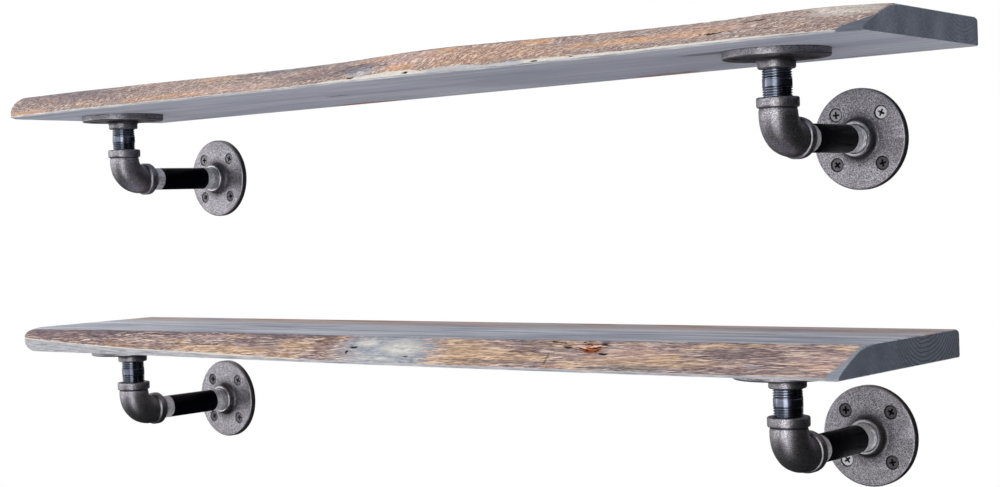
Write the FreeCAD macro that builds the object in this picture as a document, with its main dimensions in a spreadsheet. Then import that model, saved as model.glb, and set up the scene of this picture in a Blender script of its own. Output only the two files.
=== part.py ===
"""Pair of wall shelves: live-edge planks carried on half-inch pipe brackets.

Frame, in millimetres: the origin is the centre of the upper left wall flange,
on the wall plane.  +X runs to the right along the wall, +Y runs into the wall
and +Z is up, so everything in the room has a negative Y.

Each shelf is a plank on two brackets.  A bracket is a wall flange, a pipe that
stands straight out of it, an elbow, a short riser and a second flange under
the plank, each screwed into the next on tapered pipe threads.
"""
import FreeCAD, Part
import os
from math import atan2, pi, radians, tan

import Sketcher
from FreeCAD import Placement, Rotation, Vector

# ---------------------------------------------------------------- driving sizes
SIZES = (
    # where the brackets and the planks are
    ("bracket_spacing", 728.0, "between the axes of the two brackets of a shelf"),
    ("shelf_spacing", 225.0, "between the axes of the upper and lower wall pipes"),
    ("plank_length", 914.4, "36 in"),
    ("plank_thickness", 21.0, ""),
    ("wall_gap", 1.0, "between the plank's rear edge and the wall"),
    ("rear_round_top", 8.0, "radius along the plank's rear top edge"),
    ("rear_round_bottom", 4.0, "radius along the plank's rear bottom edge"),
    ("rear_corner_radius", 4.0, "the plank's two rear corners, seen from above"),
    ("bark_bulge", 2.4, "how far the bark side swells past its chord"),
    ("upper_depth", 201.0, "the upper plank, from the wall to its lower front edge"),
    ("upper_shift", 4.0, "the upper plank's middle, right of the brackets' middle"),
    ("upper_left_skew", 12.0, "how far the left end leans in at the front"),
    ("upper_right_skew", 10.0, "how far the right end leans out at the front"),
    ("upper_nose_radius", 24.0, "the worn front left corner"),
    ("lower_depth", 186.0, "the lower plank, from the wall to its lower front edge"),
    ("lower_shift", -18.0, "the lower plank's middle, right of the brackets' middle"),
    ("lower_left_skew", 6.0, "how far the left end leans in at the front"),
    ("lower_right_skew", 1.0, "how far the right end leans out at the front"),
    ("lower_nose_radius", 20.0, "the worn front left corner"),
    # half-inch pipe and its tapered thread
    ("pipe_diameter", 21.34, "outside"),
    ("pipe_bore", 15.8, "inside"),
    ("thread_length", 13.6, "length of the tapered part of a male thread"),
    ("thread_taper", 0.0625, "growth of the diameter per length, 1 in 16"),
    ("thread_clearance", 0.05, "radial, between a made-up male and female thread"),
    ("wall_pipe_length", 101.6, "4 in nipple"),
    ("wall_pipe_grip", 10.5, "how far each end of the wall pipe screws in"),
    ("riser_length", 38.1, "1 1/2 in nipple"),
    ("riser_grip", 9.05, "how far each end of the riser screws in"),
    ("pipe_end_chamfer", 0.8, ""),
    # floor flange
    ("flange_diameter", 77.0, ""),
    ("flange_plate", 5.6, "plate thickness"),
    ("flange_height", 13.0, "from the back face to the hub's rim"),
    ("hub_diameter", 27.2, ""),
    ("hub_flare", 4.0, "radius between the plate and the hub"),
    ("flange_edge_round", 1.4, ""),
    ("hub_chamfer", 0.8, ""),
    ("screw_circle", 53.6, "diameter of the circle of four screw holes"),
    ("screw_hole_diameter", 5.6, ""),
    ("countersink_diameter", 10.9, ""),
    ("countersink_angle", 82.0, "degrees, whole cone"),
    # ninety degree elbow
    ("elbow_reach", 28.4, "from the crossing of the axes to each mouth"),
    ("elbow_bend", 17.5, "radius of the bend's centre line"),
    ("elbow_diameter", 27.8, "outside of the bent body"),
    ("elbow_waterway", 19.4, "bore behind the threads"),
    ("band_diameter", 30.6, "the reinforcing band round each mouth"),
    ("band_width", 7.2, ""),
    ("band_round", 1.1, ""),
    ("thread_runout", 2.0, "female thread past the end of the pipe"),
    # wood screws
    ("screw_diameter", 4.8, "outside the thread, which starts at the flange's back face"),
    ("screw_neck_diameter", 4.2, "the smooth neck inside the flange"),
    ("screw_head_diameter", 9.7, ""),
    ("screw_seat_clearance", 0.05, "along the axis, between head and countersink"),
    ("screw_tip", 5.0, "length of the point"),
    ("wall_screw_length", 38.0, ""),
    ("shelf_screw_length", 19.0, ""),
    ("pilot_clearance", 0.05, "radial, round a screw in the plank"),
    ("pilot_extra_depth", 1.0, "pilot hole past the screw's point"),
)

# The live edge, at nine places spread evenly from the left end to the right.
# Swell moves the lower front edge out from the plank's nominal depth, wane is
# how far the top front edge stands back from the lower one, and sawn is the
# height of the square-sawn strip that is left below the bark side.
STATIONS = "abcdefghi"
LIVE_EDGES = {
    "upper": {
        "swell": (5.0, 8.0, 8.0, 4.0, 6.0, 3.0, -3.0, 1.0, -9.0),
        "wane": (26.0, 27.0, 33.0, 38.0, 34.0, 17.0, 34.0, 41.0, 58.0),
        "sawn": (1.5, 1.5, 1.5, 1.5, 1.5, 1.5, 1.5, 1.5, 1.5),
    },
    "lower": {
        "swell": (-6.0, -5.0, -4.0, -1.0, 2.0, 3.0, 3.0, 1.0, 0.0),
        "wane": (7.0, 13.0, 18.0, 20.0, 23.0, 22.0, 27.0, 33.0, 42.0),
        "sawn": (13.0, 9.0, 5.0, 3.0, 1.5, 1.5, 1.5, 1.5, 1.5),
    },
}

doc = FreeCAD.newDocument("pipe_shelves")
sheet = doc.addObject("Spreadsheet::Sheet", "Sizes")


def fill_sheet():
    """Put every driving size in the sheet and give its cell the size's name."""
    rows = [(name, value) for name, value, _ in SIZES]
    for shelf, edges in LIVE_EDGES.items():
        for kind, values in edges.items():
            rows += [(f"{shelf}_{kind}_at_{place}", value) for place, value in zip(STATIONS, values)]
    for row, (name, value) in enumerate(rows, start=1):
        sheet.set(f"A{row}", name)
        sheet.set(f"B{row}", str(value))
        sheet.setAlias(f"B{row}", name)
    doc.recompute()
    return {name: value for name, value in rows}


class Dim:
    """A length worked out from the sheet: its value now, and its formula."""

    def __init__(self, value, formula=None):
        self.value = float(value)
        self.formula = formula if formula is not None else repr(float(value))

    def _join(self, other, sign, value):
        other = as_dim(other)
        return Dim(value(self.value, other.value), f"({self.formula} {sign} {other.formula})")

    def __add__(self, other):
        return self._join(other, "+", lambda a, b: a + b)

    def __radd__(self, other):
        return as_dim(other) + self

    def __sub__(self, other):
        return self._join(other, "-", lambda a, b: a - b)

    def __rsub__(self, other):
        return as_dim(other) - self

    def __mul__(self, other):
        return self._join(other, "*", lambda a, b: a * b)

    def __rmul__(self, other):
        return as_dim(other) * self

    def __truediv__(self, other):
        return self._join(other, "/", lambda a, b: a / b)

    def __neg__(self):
        return Dim(0.0) - self


def as_dim(number):
    return number if isinstance(number, Dim) else Dim(number)


def tangent_of(angle):
    """The tangent of an angle in degrees."""
    return Dim(tan(radians(angle.value)), f"tan({angle.formula} * 1 deg)")


VALUES = fill_sheet()


def size(name):
    return Dim(VALUES[name], f"{sheet.Name}.{name}")


# ---------------------------------------------------- sizes that follow from them
HALF_TAPER = size("thread_taper") / 2
COUNTERSINK_SLOPE = tangent_of(size("countersink_angle") / 2)
PIPE_END_RADIUS = size("pipe_diameter") / 2 - size("thread_length") * HALF_TAPER
BRACKET_REACH = (size("flange_height") + size("wall_pipe_length")
                 - size("wall_pipe_grip") * 2 + size("elbow_reach"))
PLANK_LEVEL = (size("elbow_reach") + size("riser_length")
               - size("riser_grip") * 2 + size("flange_height"))
HEAD_DEPTH = ((size("countersink_diameter") - size("screw_head_diameter")) / 2
              / COUNTERSINK_SLOPE - size("screw_seat_clearance"))
HEAD_LEVEL = size("flange_plate") - HEAD_DEPTH
PILOT_DEPTH = size("shelf_screw_length") - HEAD_LEVEL + size("pilot_extra_depth")
PILOT_RADIUS = size("screw_diameter") / 2 + size("pilot_clearance")
CUT_MARGIN = 5.0    # how far a cut runs past what it cuts
DIAGONAL = 0.5 ** 0.5    # share of a radius that a diagonal point lies along each axis


def seat_radius(grip, depth):
    """Radius of a female thread at a depth below its mouth, for a pipe gripped so far."""
    return PIPE_END_RADIUS + (grip - depth) * HALF_TAPER + size("thread_clearance")


# ------------------------------------------------------------ sketch and feature
def new_body(label):
    body = doc.addObject("PartDesign::Body", label)
    body.Label = label
    body.AllowCompound = True
    return body


def origin_plane(body, role):
    return next(item for item in body.Origin.OriginFeatures if item.Role == role)


def new_sketch(body, name, role, offset=0.0):
    """A sketch on one of the body's origin planes, moved along the plane's normal."""
    sketch = body.newObject("Sketcher::SketchObject", name)
    sketch.AttachmentSupport = [(origin_plane(body, role), "")]
    sketch.MapMode = "FlatFace"
    offset = as_dim(offset)
    sketch.AttachmentOffset = Placement(Vector(0, 0, offset.value), Rotation())
    if offset.value:
        sketch.setExpression("AttachmentOffset.Base.z", offset.formula)
    return sketch


def hold(sketch, kind, geometry, point, length):
    """Hold a point's distance from the sketch's origin along one direction."""
    index = sketch.addConstraint(Sketcher.Constraint(kind, -1, 1, geometry, point, length.value))
    sketch.setExpression(f"Constraints[{index}]", length.formula)


def draw_outline(sketch, corners, arcs=None):
    """A closed outline through corners; arcs gives {corner: (radius, bulge side)} for curved sides.

    The side that starts at a corner named in arcs is an arc of that radius,
    which swells to the left of the way from corner to corner for side 1 and to
    the right for side -1.
    """
    arcs = arcs or {}
    corners = [(as_dim(u), as_dim(v)) for u, v in corners]
    first = sketch.GeometryCount
    count = len(corners)
    start_points = []
    end_points = []
    for i, (u, v) in enumerate(corners):
        u_next, v_next = corners[(i + 1) % count]
        start = Vector(u.value, v.value, 0)
        end = Vector(u_next.value, v_next.value, 0)
        if i not in arcs:
            sketch.addGeometry(Part.LineSegment(start, end), False)
            start_points.append(1)
            end_points.append(2)
            continue
        radius, side = arcs[i]
        chord = end - start
        left = Vector(-chord.y, chord.x, 0).normalize()
        reach = (radius.value ** 2 - (chord.Length / 2) ** 2) ** 0.5
        centre = (start + end) / 2 - left * reach * side
        # an arc is stored anticlockwise, so one that swells to the left runs backwards
        begin, finish = (end, start) if side == 1 else (start, end)
        from_angle = atan2(begin.y - centre.y, begin.x - centre.x)
        to_angle = atan2(finish.y - centre.y, finish.x - centre.x)
        if to_angle < from_angle:
            to_angle += 2 * pi
        circle = Part.Circle(centre, Vector(0, 0, 1), radius.value)
        sketch.addGeometry(Part.ArcOfCircle(circle, from_angle, to_angle), False)
        start_points.append(2 if side == 1 else 1)
        end_points.append(1 if side == 1 else 2)
    for i in range(count):
        following = (i + 1) % count
        sketch.addConstraint(Sketcher.Constraint(
            "Coincident", first + i, end_points[i], first + following, start_points[following]))
    for i, (u, v) in enumerate(corners):
        hold(sketch, "DistanceX", first + i, start_points[i], u)
        hold(sketch, "DistanceY", first + i, start_points[i], v)
    for i, (radius, _) in arcs.items():
        index = sketch.addConstraint(Sketcher.Constraint("Radius", first + i, radius.value))
        sketch.setExpression(f"Constraints[{index}]", radius.formula)


def draw_circle(sketch, u, v, radius):
    u, v = as_dim(u), as_dim(v)
    circle = Part.Circle(Vector(u.value, v.value, 0), Vector(0, 0, 1), radius.value)
    geometry = sketch.addGeometry(circle, False)
    index = sketch.addConstraint(Sketcher.Constraint("Radius", geometry, radius.value))
    sketch.setExpression(f"Constraints[{index}]", radius.formula)
    hold(sketch, "DistanceX", geometry, 3, u)
    hold(sketch, "DistanceY", geometry, 3, v)


def turn_round(body, kind, name, sketch, axis="V_Axis"):
    """A Revolution or Groove of a sketch, all the way round."""
    feature = body.newObject(f"PartDesign::{kind}", name)
    feature.Profile = sketch
    feature.ReferenceAxis = (sketch, [axis])
    feature.Angle = 360.0
    return feature


def rings(shape, radius, place, axis=Vector(0, 0, 1)):
    """Names of the circular edges of a radius whose centre lies so far along an axis."""
    names = []
    for number, edge in enumerate(shape.Edges, start=1):
        curve = edge.Curve
        if not isinstance(curve, Part.Circle):
            continue
        along = curve.Center.dot(axis)
        if (abs(curve.Radius - radius.value) < 1e-4 and abs(along - place.value) < 1e-4
                and abs(abs(curve.Axis.dot(axis)) - 1) < 1e-6):
            names.append(f"Edge{number}")
    return names


def soften(body, kind, name, places, amount):
    """A Fillet or Chamfer on rings, each given as (radius, place) or (radius, place, axis)."""
    doc.recompute()
    base = body.Tip
    edges = [edge for place in places for edge in rings(base.Shape, *place)]
    if len(edges) != len(places):
        raise RuntimeError(f"{body.Label} {name}: {len(edges)} edges for {len(places)} places")
    feature = body.newObject(f"PartDesign::{kind}", name)
    feature.Base = (base, edges)
    dimension = "Radius" if kind == "Fillet" else "Size"
    setattr(feature, dimension, amount.value)
    feature.setExpression(dimension, amount.formula)
    body.Tip = feature
    return feature


def quarter_turns(body, name, feature):
    """Four copies of a feature round the body's Z axis."""
    pattern = body.newObject("PartDesign::PolarPattern", name)
    pattern.Originals = [feature]
    pattern.Axis = (origin_plane(body, "Z_Axis"), [""])
    pattern.Angle = 360.0
    pattern.Occurrences = 4
    body.Tip = pattern
    return pattern


def place(body, x, y, z, rotation=Rotation()):
    """Put a finished body where it belongs, tied to the sheet."""
    x, y, z = as_dim(x), as_dim(y), as_dim(z)
    body.Placement = Placement(Vector(x.value, y.value, z.value), rotation)
    for letter, length in (("x", x), ("y", y), ("z", z)):
        body.setExpression(f".Placement.Base.{letter}", length.formula)


# -------------------------------------------------------------------- the pieces
def floor_flange(label, grip):
    """Cast floor flange; its back face is at Z = 0 and its hub points along +Z."""
    body = new_body(label)
    rim = size("flange_diameter") / 2
    hub = size("hub_diameter") / 2
    plate = size("flange_plate")
    height = size("flange_height")
    mouth = seat_radius(grip, 0)
    profile = new_sketch(body, "Profile", "XZ_Plane")
    draw_outline(profile, [
        (seat_radius(grip, height), 0), (rim, 0), (rim, plate),
        (hub, plate), (hub, height), (mouth, height)])
    body.Tip = turn_round(body, "Revolution", "Casting", profile)
    soften(body, "Fillet", "HubFlare", [(hub, plate)], size("hub_flare"))
    soften(body, "Fillet", "RimRound", [(rim, plate)], size("flange_edge_round"))
    soften(body, "Chamfer", "HubRim", [(hub, height), (mouth, height)], size("hub_chamfer"))
    doc.recompute()
    centre = new_sketch(body, "ScrewCentre", "XY_Plane", plate)
    draw_circle(centre, size("screw_circle") / 2, 0, size("screw_hole_diameter") / 2)
    doc.recompute()
    hole = body.newObject("PartDesign::Hole", "ScrewHole")
    hole.Profile = centre
    hole.DepthType = "ThroughAll"
    hole.Threaded = False
    hole.HoleCutType = "Countersink"
    hole.Diameter = VALUES["screw_hole_diameter"]
    hole.HoleCutCustomValues = True
    hole.HoleCutDiameter = VALUES["countersink_diameter"]
    hole.HoleCutCountersinkAngle = VALUES["countersink_angle"]
    hole.setExpression("Diameter", size("screw_hole_diameter").formula)
    hole.setExpression("HoleCutDiameter", size("countersink_diameter").formula)
    hole.setExpression("HoleCutCountersinkAngle", size("countersink_angle").formula)
    body.Tip = hole
    doc.recompute()
    quarter_turns(body, "ScrewHoles", hole)
    return body


def wood_screws(label, length):
    """Four countersunk wood screws for one flange, points down, in the flange's own frame."""
    body = new_body(label)
    arm = size("screw_circle") / 2
    head = size("screw_head_diameter") / 2
    neck = size("screw_neck_diameter") / 2
    thread = size("screw_diameter") / 2
    head_foot = HEAD_LEVEL - (head - neck) / COUNTERSINK_SLOPE
    point = HEAD_LEVEL - length
    profile = new_sketch(body, "Profile", "XZ_Plane")
    draw_outline(profile, [
        (arm, point), (arm + thread, point + size("screw_tip")), (arm + thread, 0),
        (arm + neck, 0), (arm + neck, head_foot), (arm + head, HEAD_LEVEL), (arm, HEAD_LEVEL)])
    centre_line = profile.addGeometry(
        Part.LineSegment(Vector(arm.value, 0, 0), Vector(arm.value, CUT_MARGIN, 0)), True)
    profile.addConstraint(Sketcher.Constraint("Vertical", centre_line))
    hold(profile, "DistanceX", centre_line, 1, arm)
    screw = turn_round(body, "Revolution", "Screw", profile, "Axis0")
    body.Tip = screw
    doc.recompute()
    quarter_turns(body, "Screws", screw)
    return body


def pipe_nipple(label, length):
    """Pipe threaded at both ends, standing on Z = 0 along +Z."""
    body = new_body(label)
    outside = size("pipe_diameter") / 2
    bore = size("pipe_bore") / 2
    thread = size("thread_length")
    profile = new_sketch(body, "Profile", "XZ_Plane")
    draw_outline(profile, [
        (bore, 0), (PIPE_END_RADIUS, 0), (outside, thread),
        (outside, length - thread), (PIPE_END_RADIUS, length), (bore, length)])
    body.Tip = turn_round(body, "Revolution", "Pipe", profile)
    ends = [(PIPE_END_RADIUS, as_dim(0)), (PIPE_END_RADIUS, length)]
    soften(body, "Chamfer", "EndChamfer", ends, size("pipe_end_chamfer"))
    return body


def elbow(label):
    """Banded elbow; one mouth faces +Z (the riser) and the other +Y (the wall pipe)."""
    body = new_body(label)
    reach = size("elbow_reach")
    bend = size("elbow_bend")
    band = size("band_diameter") / 2
    band_foot = reach - size("band_width")
    along_y = Vector(0, 1, 0)

    route = new_sketch(body, "Route", "YZ_Plane")
    straight_down = route.addGeometry(Part.LineSegment(
        Vector(0, reach.value, 0), Vector(0, bend.value, 0)), False)
    turn = route.addGeometry(Part.Arc(
        Vector(0, bend.value, 0),
        Vector(bend.value * (1 - DIAGONAL), bend.value * (1 - DIAGONAL), 0),
        Vector(bend.value, 0, 0)), False)
    straight_back = route.addGeometry(Part.LineSegment(
        Vector(bend.value, 0, 0), Vector(reach.value, 0, 0)), False)
    turn_start = 1 if route.Geometry[turn].StartPoint.x < bend.value / 2 else 2
    route.addConstraint(Sketcher.Constraint("Coincident", straight_down, 2, turn, turn_start))
    route.addConstraint(Sketcher.Constraint("Coincident", turn, 3 - turn_start, straight_back, 1))
    for geometry, point, u, v in (
            (straight_down, 1, as_dim(0), reach), (straight_down, 2, as_dim(0), bend),
            (straight_back, 1, bend, as_dim(0)), (straight_back, 2, reach, as_dim(0))):
        hold(route, "DistanceX", geometry, point, u)
        hold(route, "DistanceY", geometry, point, v)
    radius = route.addConstraint(Sketcher.Constraint("Radius", turn, bend.value))
    route.setExpression(f"Constraints[{radius}]", bend.formula)

    def piped(kind, name, diameter):
        ring = new_sketch(body, f"{name}Ring", "XY_Plane", reach)
        draw_circle(ring, 0, 0, diameter / 2)
        doc.recompute()
        pipe = body.newObject(f"PartDesign::{kind}", name)
        pipe.Profile = ring
        pipe.Spine = route
        body.Tip = pipe
        doc.recompute()

    def mouths(kind, name, corners):
        for mouth, plane in (("Riser", "XZ_Plane"), ("Wall", "XY_Plane")):
            profile = new_sketch(body, f"{mouth}{name}Profile", plane)
            grip = size("riser_grip") if mouth == "Riser" else size("wall_pipe_grip")
            draw_outline(profile, corners(grip))
            body.Tip = turn_round(body, kind, f"{mouth}{name}", profile)
            doc.recompute()

    def thread(grip):
        depth = grip + size("thread_runout")
        return [(0, reach - depth), (seat_radius(grip, depth), reach - depth),
                (seat_radius(grip, 0), reach), (0, reach)]

    piped("AdditivePipe", "Casting", size("elbow_diameter"))
    mouths("Revolution", "Band", lambda _: [(0, band_foot), (band, band_foot), (band, reach), (0, reach)])
    bands = [(band, band_foot), (band, reach), (band, band_foot, along_y), (band, reach, along_y)]
    soften(body, "Fillet", "BandRound", bands, size("band_round"))
    piped("SubtractivePipe", "Waterway", size("elbow_waterway"))
    mouths("Groove", "Thread", thread)
    return body


def plank(label, shelf):
    """Live-edge plank; its underside is at Z = 0 and X, Y are those of the whole unit."""
    body = new_body(label)
    length = size("plank_length")
    thickness = size("plank_thickness")
    depth = size(f"{shelf}_depth")
    gap = size("wall_gap")
    top_round = size("rear_round_top")
    bottom_round = size("rear_round_bottom")
    middle = size("bracket_spacing") / 2 + size(f"{shelf}_shift")
    left = middle - length / 2
    right = middle + length / 2
    left_skew = size(f"{shelf}_left_skew")
    right_skew = size(f"{shelf}_right_skew")
    nose = size(f"{shelf}_nose_radius")
    corner = size("rear_corner_radius")
    swell = max(VALUES[f"{shelf}_swell_at_{where}"] for where in STATIONS)
    front = depth + swell + CUT_MARGIN
    clear_of_front = -(front + CUT_MARGIN)

    board = new_sketch(body, "BoardSection", "YZ_Plane", left)
    draw_outline(board, [
        (-front, 0), (-(gap + bottom_round), 0), (-gap, bottom_round),
        (-gap, thickness - top_round), (-(gap + top_round), thickness), (-front, thickness)],
        {1: (bottom_round, -1), 3: (top_round, -1)})
    pad = body.newObject("PartDesign::Pad", "Board")
    pad.Profile = board
    span = length + right_skew
    pad.Length = span.value
    pad.setExpression("Length", span.formula)
    body.Tip = pad
    doc.recompute()

    sections = []
    first = left - CUT_MARGIN
    station_pitch = (span + CUT_MARGIN * 2) / (len(STATIONS) - 1)
    for number, where in enumerate(STATIONS):
        foot = depth + size(f"{shelf}_swell_at_{where}")
        brow = foot - size(f"{shelf}_wane_at_{where}")
        sawn = size(f"{shelf}_sawn_at_{where}")
        rise = thickness - sawn
        run = foot - brow
        chord_squared = rise * rise + run * run
        bulge = size("bark_bulge")
        radius = chord_squared / (bulge * 8) + bulge / 2
        waste = new_sketch(body, f"BarkSection{number}", "YZ_Plane", first + station_pitch * number)
        draw_outline(waste, [
            (-foot, -CUT_MARGIN), (-foot, sawn), (-brow, thickness), (-brow, thickness + CUT_MARGIN),
            (clear_of_front, thickness + CUT_MARGIN), (clear_of_front, -CUT_MARGIN)],
            {1: (radius, 1)})
        sections.append(waste)
    doc.recompute()
    bark = body.newObject("PartDesign::SubtractiveLoft", "BarkSide")
    bark.Profile = sections[0]
    bark.Sections = sections[1:]
    body.Tip = bark
    doc.recompute()

    # where the bark side's foot lies at the far end of the worn corner, between the first two stations
    nose_end = left + left_skew + nose
    swell_a = size(f"{shelf}_swell_at_a")
    swell_b = size(f"{shelf}_swell_at_b")
    nose_front = -(depth + swell_a + (swell_b - swell_a) * (nose_end - first) / station_pitch)

    ends = new_sketch(body, "EndCuts", "XY_Plane", -CUT_MARGIN)
    far_left = left - CUT_MARGIN * 2
    far_right = right + right_skew + CUT_MARGIN * 2
    far_front = clear_of_front - CUT_MARGIN
    draw_outline(ends, [(far_left, 0), (far_left, far_front), (far_right, far_front), (far_right, 0)])
    draw_outline(ends, [
        (left + corner, -gap), (left, -(gap + corner)),
        (left + left_skew, nose_front + nose), (nose_end, nose_front),
        (nose_end, clear_of_front), (right + right_skew, clear_of_front),
        (right, -(gap + corner)), (right - corner, -gap)],
        {0: (corner, -1), 2: (nose, -1), 6: (corner, -1)})
    cut = body.newObject("PartDesign::Pocket", "Ends")
    cut.Profile = ends
    cut.Reversed = True
    through = thickness + CUT_MARGIN * 2
    cut.Length = through.value
    cut.setExpression("Length", through.formula)
    body.Tip = cut
    doc.recompute()

    pilots = new_sketch(body, "PilotCentres", "XY_Plane")
    arm = size("screw_circle") / 2 * DIAGONAL
    for bracket in (as_dim(0), size("bracket_spacing")):
        for side_x in (-1, 1):
            for side_y in (-1, 1):
                draw_circle(pilots, bracket + arm * side_x, arm * side_y - BRACKET_REACH, PILOT_RADIUS)
    holes = body.newObject("PartDesign::Pocket", "Pilots")
    holes.Profile = pilots
    holes.Reversed = True
    holes.Length = PILOT_DEPTH.value
    holes.setExpression("Length", PILOT_DEPTH.formula)
    body.Tip = holes
    return body


# ------------------------------------------------------------------ the assembly
TO_WALL = Rotation(Vector(1, 0, 0), 90) * Rotation(Vector(0, 0, 1), 45)
TO_PLANK = Rotation(Vector(1, 0, 0), 180) * Rotation(Vector(0, 0, 1), 45)
OUT_OF_WALL = Rotation(Vector(1, 0, 0), 90)


def bracket(name, x, level):
    """One bracket, standing out of the wall at x, with its wall pipe at a level."""
    flange_level = level + PLANK_LEVEL
    wall_flange = floor_flange(f"{name}_wall_flange", size("wall_pipe_grip"))
    place(wall_flange, x, 0, level, TO_WALL)
    wall_screws = wood_screws(f"{name}_wall_screws", size("wall_screw_length"))
    place(wall_screws, x, 0, level, TO_WALL)
    wall_pipe = pipe_nipple(f"{name}_wall_pipe", size("wall_pipe_length"))
    place(wall_pipe, x, size("wall_pipe_grip") - size("flange_height"), level, OUT_OF_WALL)
    bend = elbow(f"{name}_elbow")
    place(bend, x, -BRACKET_REACH, level)
    riser = pipe_nipple(f"{name}_riser", size("riser_length"))
    place(riser, x, -BRACKET_REACH, level + size("elbow_reach") - size("riser_grip"))
    shelf_flange = floor_flange(f"{name}_shelf_flange", size("riser_grip"))
    place(shelf_flange, x, -BRACKET_REACH, flange_level, TO_PLANK)
    shelf_screws = wood_screws(f"{name}_shelf_screws", size("shelf_screw_length"))
    place(shelf_screws, x, -BRACKET_REACH, flange_level, TO_PLANK)
    return [wall_flange, wall_screws, wall_pipe, bend, riser, shelf_flange, shelf_screws]


def build():
    pieces = []
    for shelf, level in (("upper", as_dim(0)), ("lower", -size("shelf_spacing"))):
        pieces += bracket(f"{shelf}_left", as_dim(0), level)
        pieces += bracket(f"{shelf}_right", size("bracket_spacing"), level)
        board = plank(f"{shelf}_plank", shelf)
        place(board, 0, 0, level + PLANK_LEVEL)
        pieces.append(board)
    doc.recompute()
    return pieces


def check(pieces):
    """Stop if any object failed or any piece isn't a sound solid."""
    for item in doc.Objects:
        if "Invalid" in item.State or "Error" in item.State:
            raise RuntimeError(f"{item.Label} failed: {item.State}")
    for piece in pieces:
        shape = piece.Shape
        wanted = 4 if piece.Label.endswith("_screws") else 1
        if shape.isNull() or not shape.isValid() or len(shape.Solids) != wanted:
            raise RuntimeError(f"{piece.Label} isn't {wanted} sound solid(s)")


def main():
    pieces = build()
    check(pieces)
    os.makedirs("parts", exist_ok=True)
    for piece in pieces:
        piece.Shape.exportStep(f"parts/{piece.Label}.step")


main()
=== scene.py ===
"""Looks of a pair of live-edge shelves on half-inch pipe brackets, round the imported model.

Everything is in metres in the model's own frame, except where a comment says millimetres:
+X runs right along the wall, +Y runs into the wall and +Z is up.  The pieces take their
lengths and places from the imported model; radii and threads are named here.
"""
import math

import bmesh
import bpy
from mathutils import Matrix, Quaternion, Vector, noise
from mathutils.bvhtree import BVHTree


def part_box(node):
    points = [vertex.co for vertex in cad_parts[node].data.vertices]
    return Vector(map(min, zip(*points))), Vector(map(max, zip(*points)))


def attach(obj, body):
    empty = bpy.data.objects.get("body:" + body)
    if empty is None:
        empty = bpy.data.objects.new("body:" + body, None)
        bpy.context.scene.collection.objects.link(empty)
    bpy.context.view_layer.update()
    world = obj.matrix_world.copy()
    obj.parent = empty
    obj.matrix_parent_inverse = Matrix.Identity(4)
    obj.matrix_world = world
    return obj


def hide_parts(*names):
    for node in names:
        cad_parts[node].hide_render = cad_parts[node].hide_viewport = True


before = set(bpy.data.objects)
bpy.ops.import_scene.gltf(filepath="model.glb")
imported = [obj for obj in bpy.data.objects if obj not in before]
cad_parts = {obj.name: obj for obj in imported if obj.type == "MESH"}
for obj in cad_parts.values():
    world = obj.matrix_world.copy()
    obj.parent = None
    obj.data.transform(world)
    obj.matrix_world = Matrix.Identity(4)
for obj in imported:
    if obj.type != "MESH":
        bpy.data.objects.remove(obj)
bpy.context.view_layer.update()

MM = 0.001
SHELVES = ("upper", "lower")
BRACKETS = ("upper_left", "upper_right", "lower_left", "lower_right")


# ------------------------------------------------------------------ shader helper
class Socket:
    """One output of a node, on which sums can be written as sums."""

    def __init__(self, finish, socket):
        self.finish = finish
        self.socket = socket

    def math(self, operation, *values):
        return self.finish.node("ShaderNodeMath", {"operation": operation}, dict(enumerate(values)))

    def output(self, name):
        return Socket(self.finish, self.socket.node.outputs[name])

    def __add__(self, other):
        return self.math("ADD", self, other)

    def __radd__(self, other):
        return self.math("ADD", other, self)

    def __sub__(self, other):
        return self.math("SUBTRACT", self, other)

    def __rsub__(self, other):
        return self.math("SUBTRACT", other, self)

    def __mul__(self, other):
        return self.math("MULTIPLY", self, other)

    def __rmul__(self, other):
        return self.math("MULTIPLY", other, self)

    def __truediv__(self, other):
        return self.math("DIVIDE", self, other)

    def __pow__(self, other):
        return self.math("POWER", self, other)

    def __abs__(self):
        return self.math("ABSOLUTE", self)

    def fraction(self):
        """What is left above the next lower whole number."""
        return self.math("FRACT", self)


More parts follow.
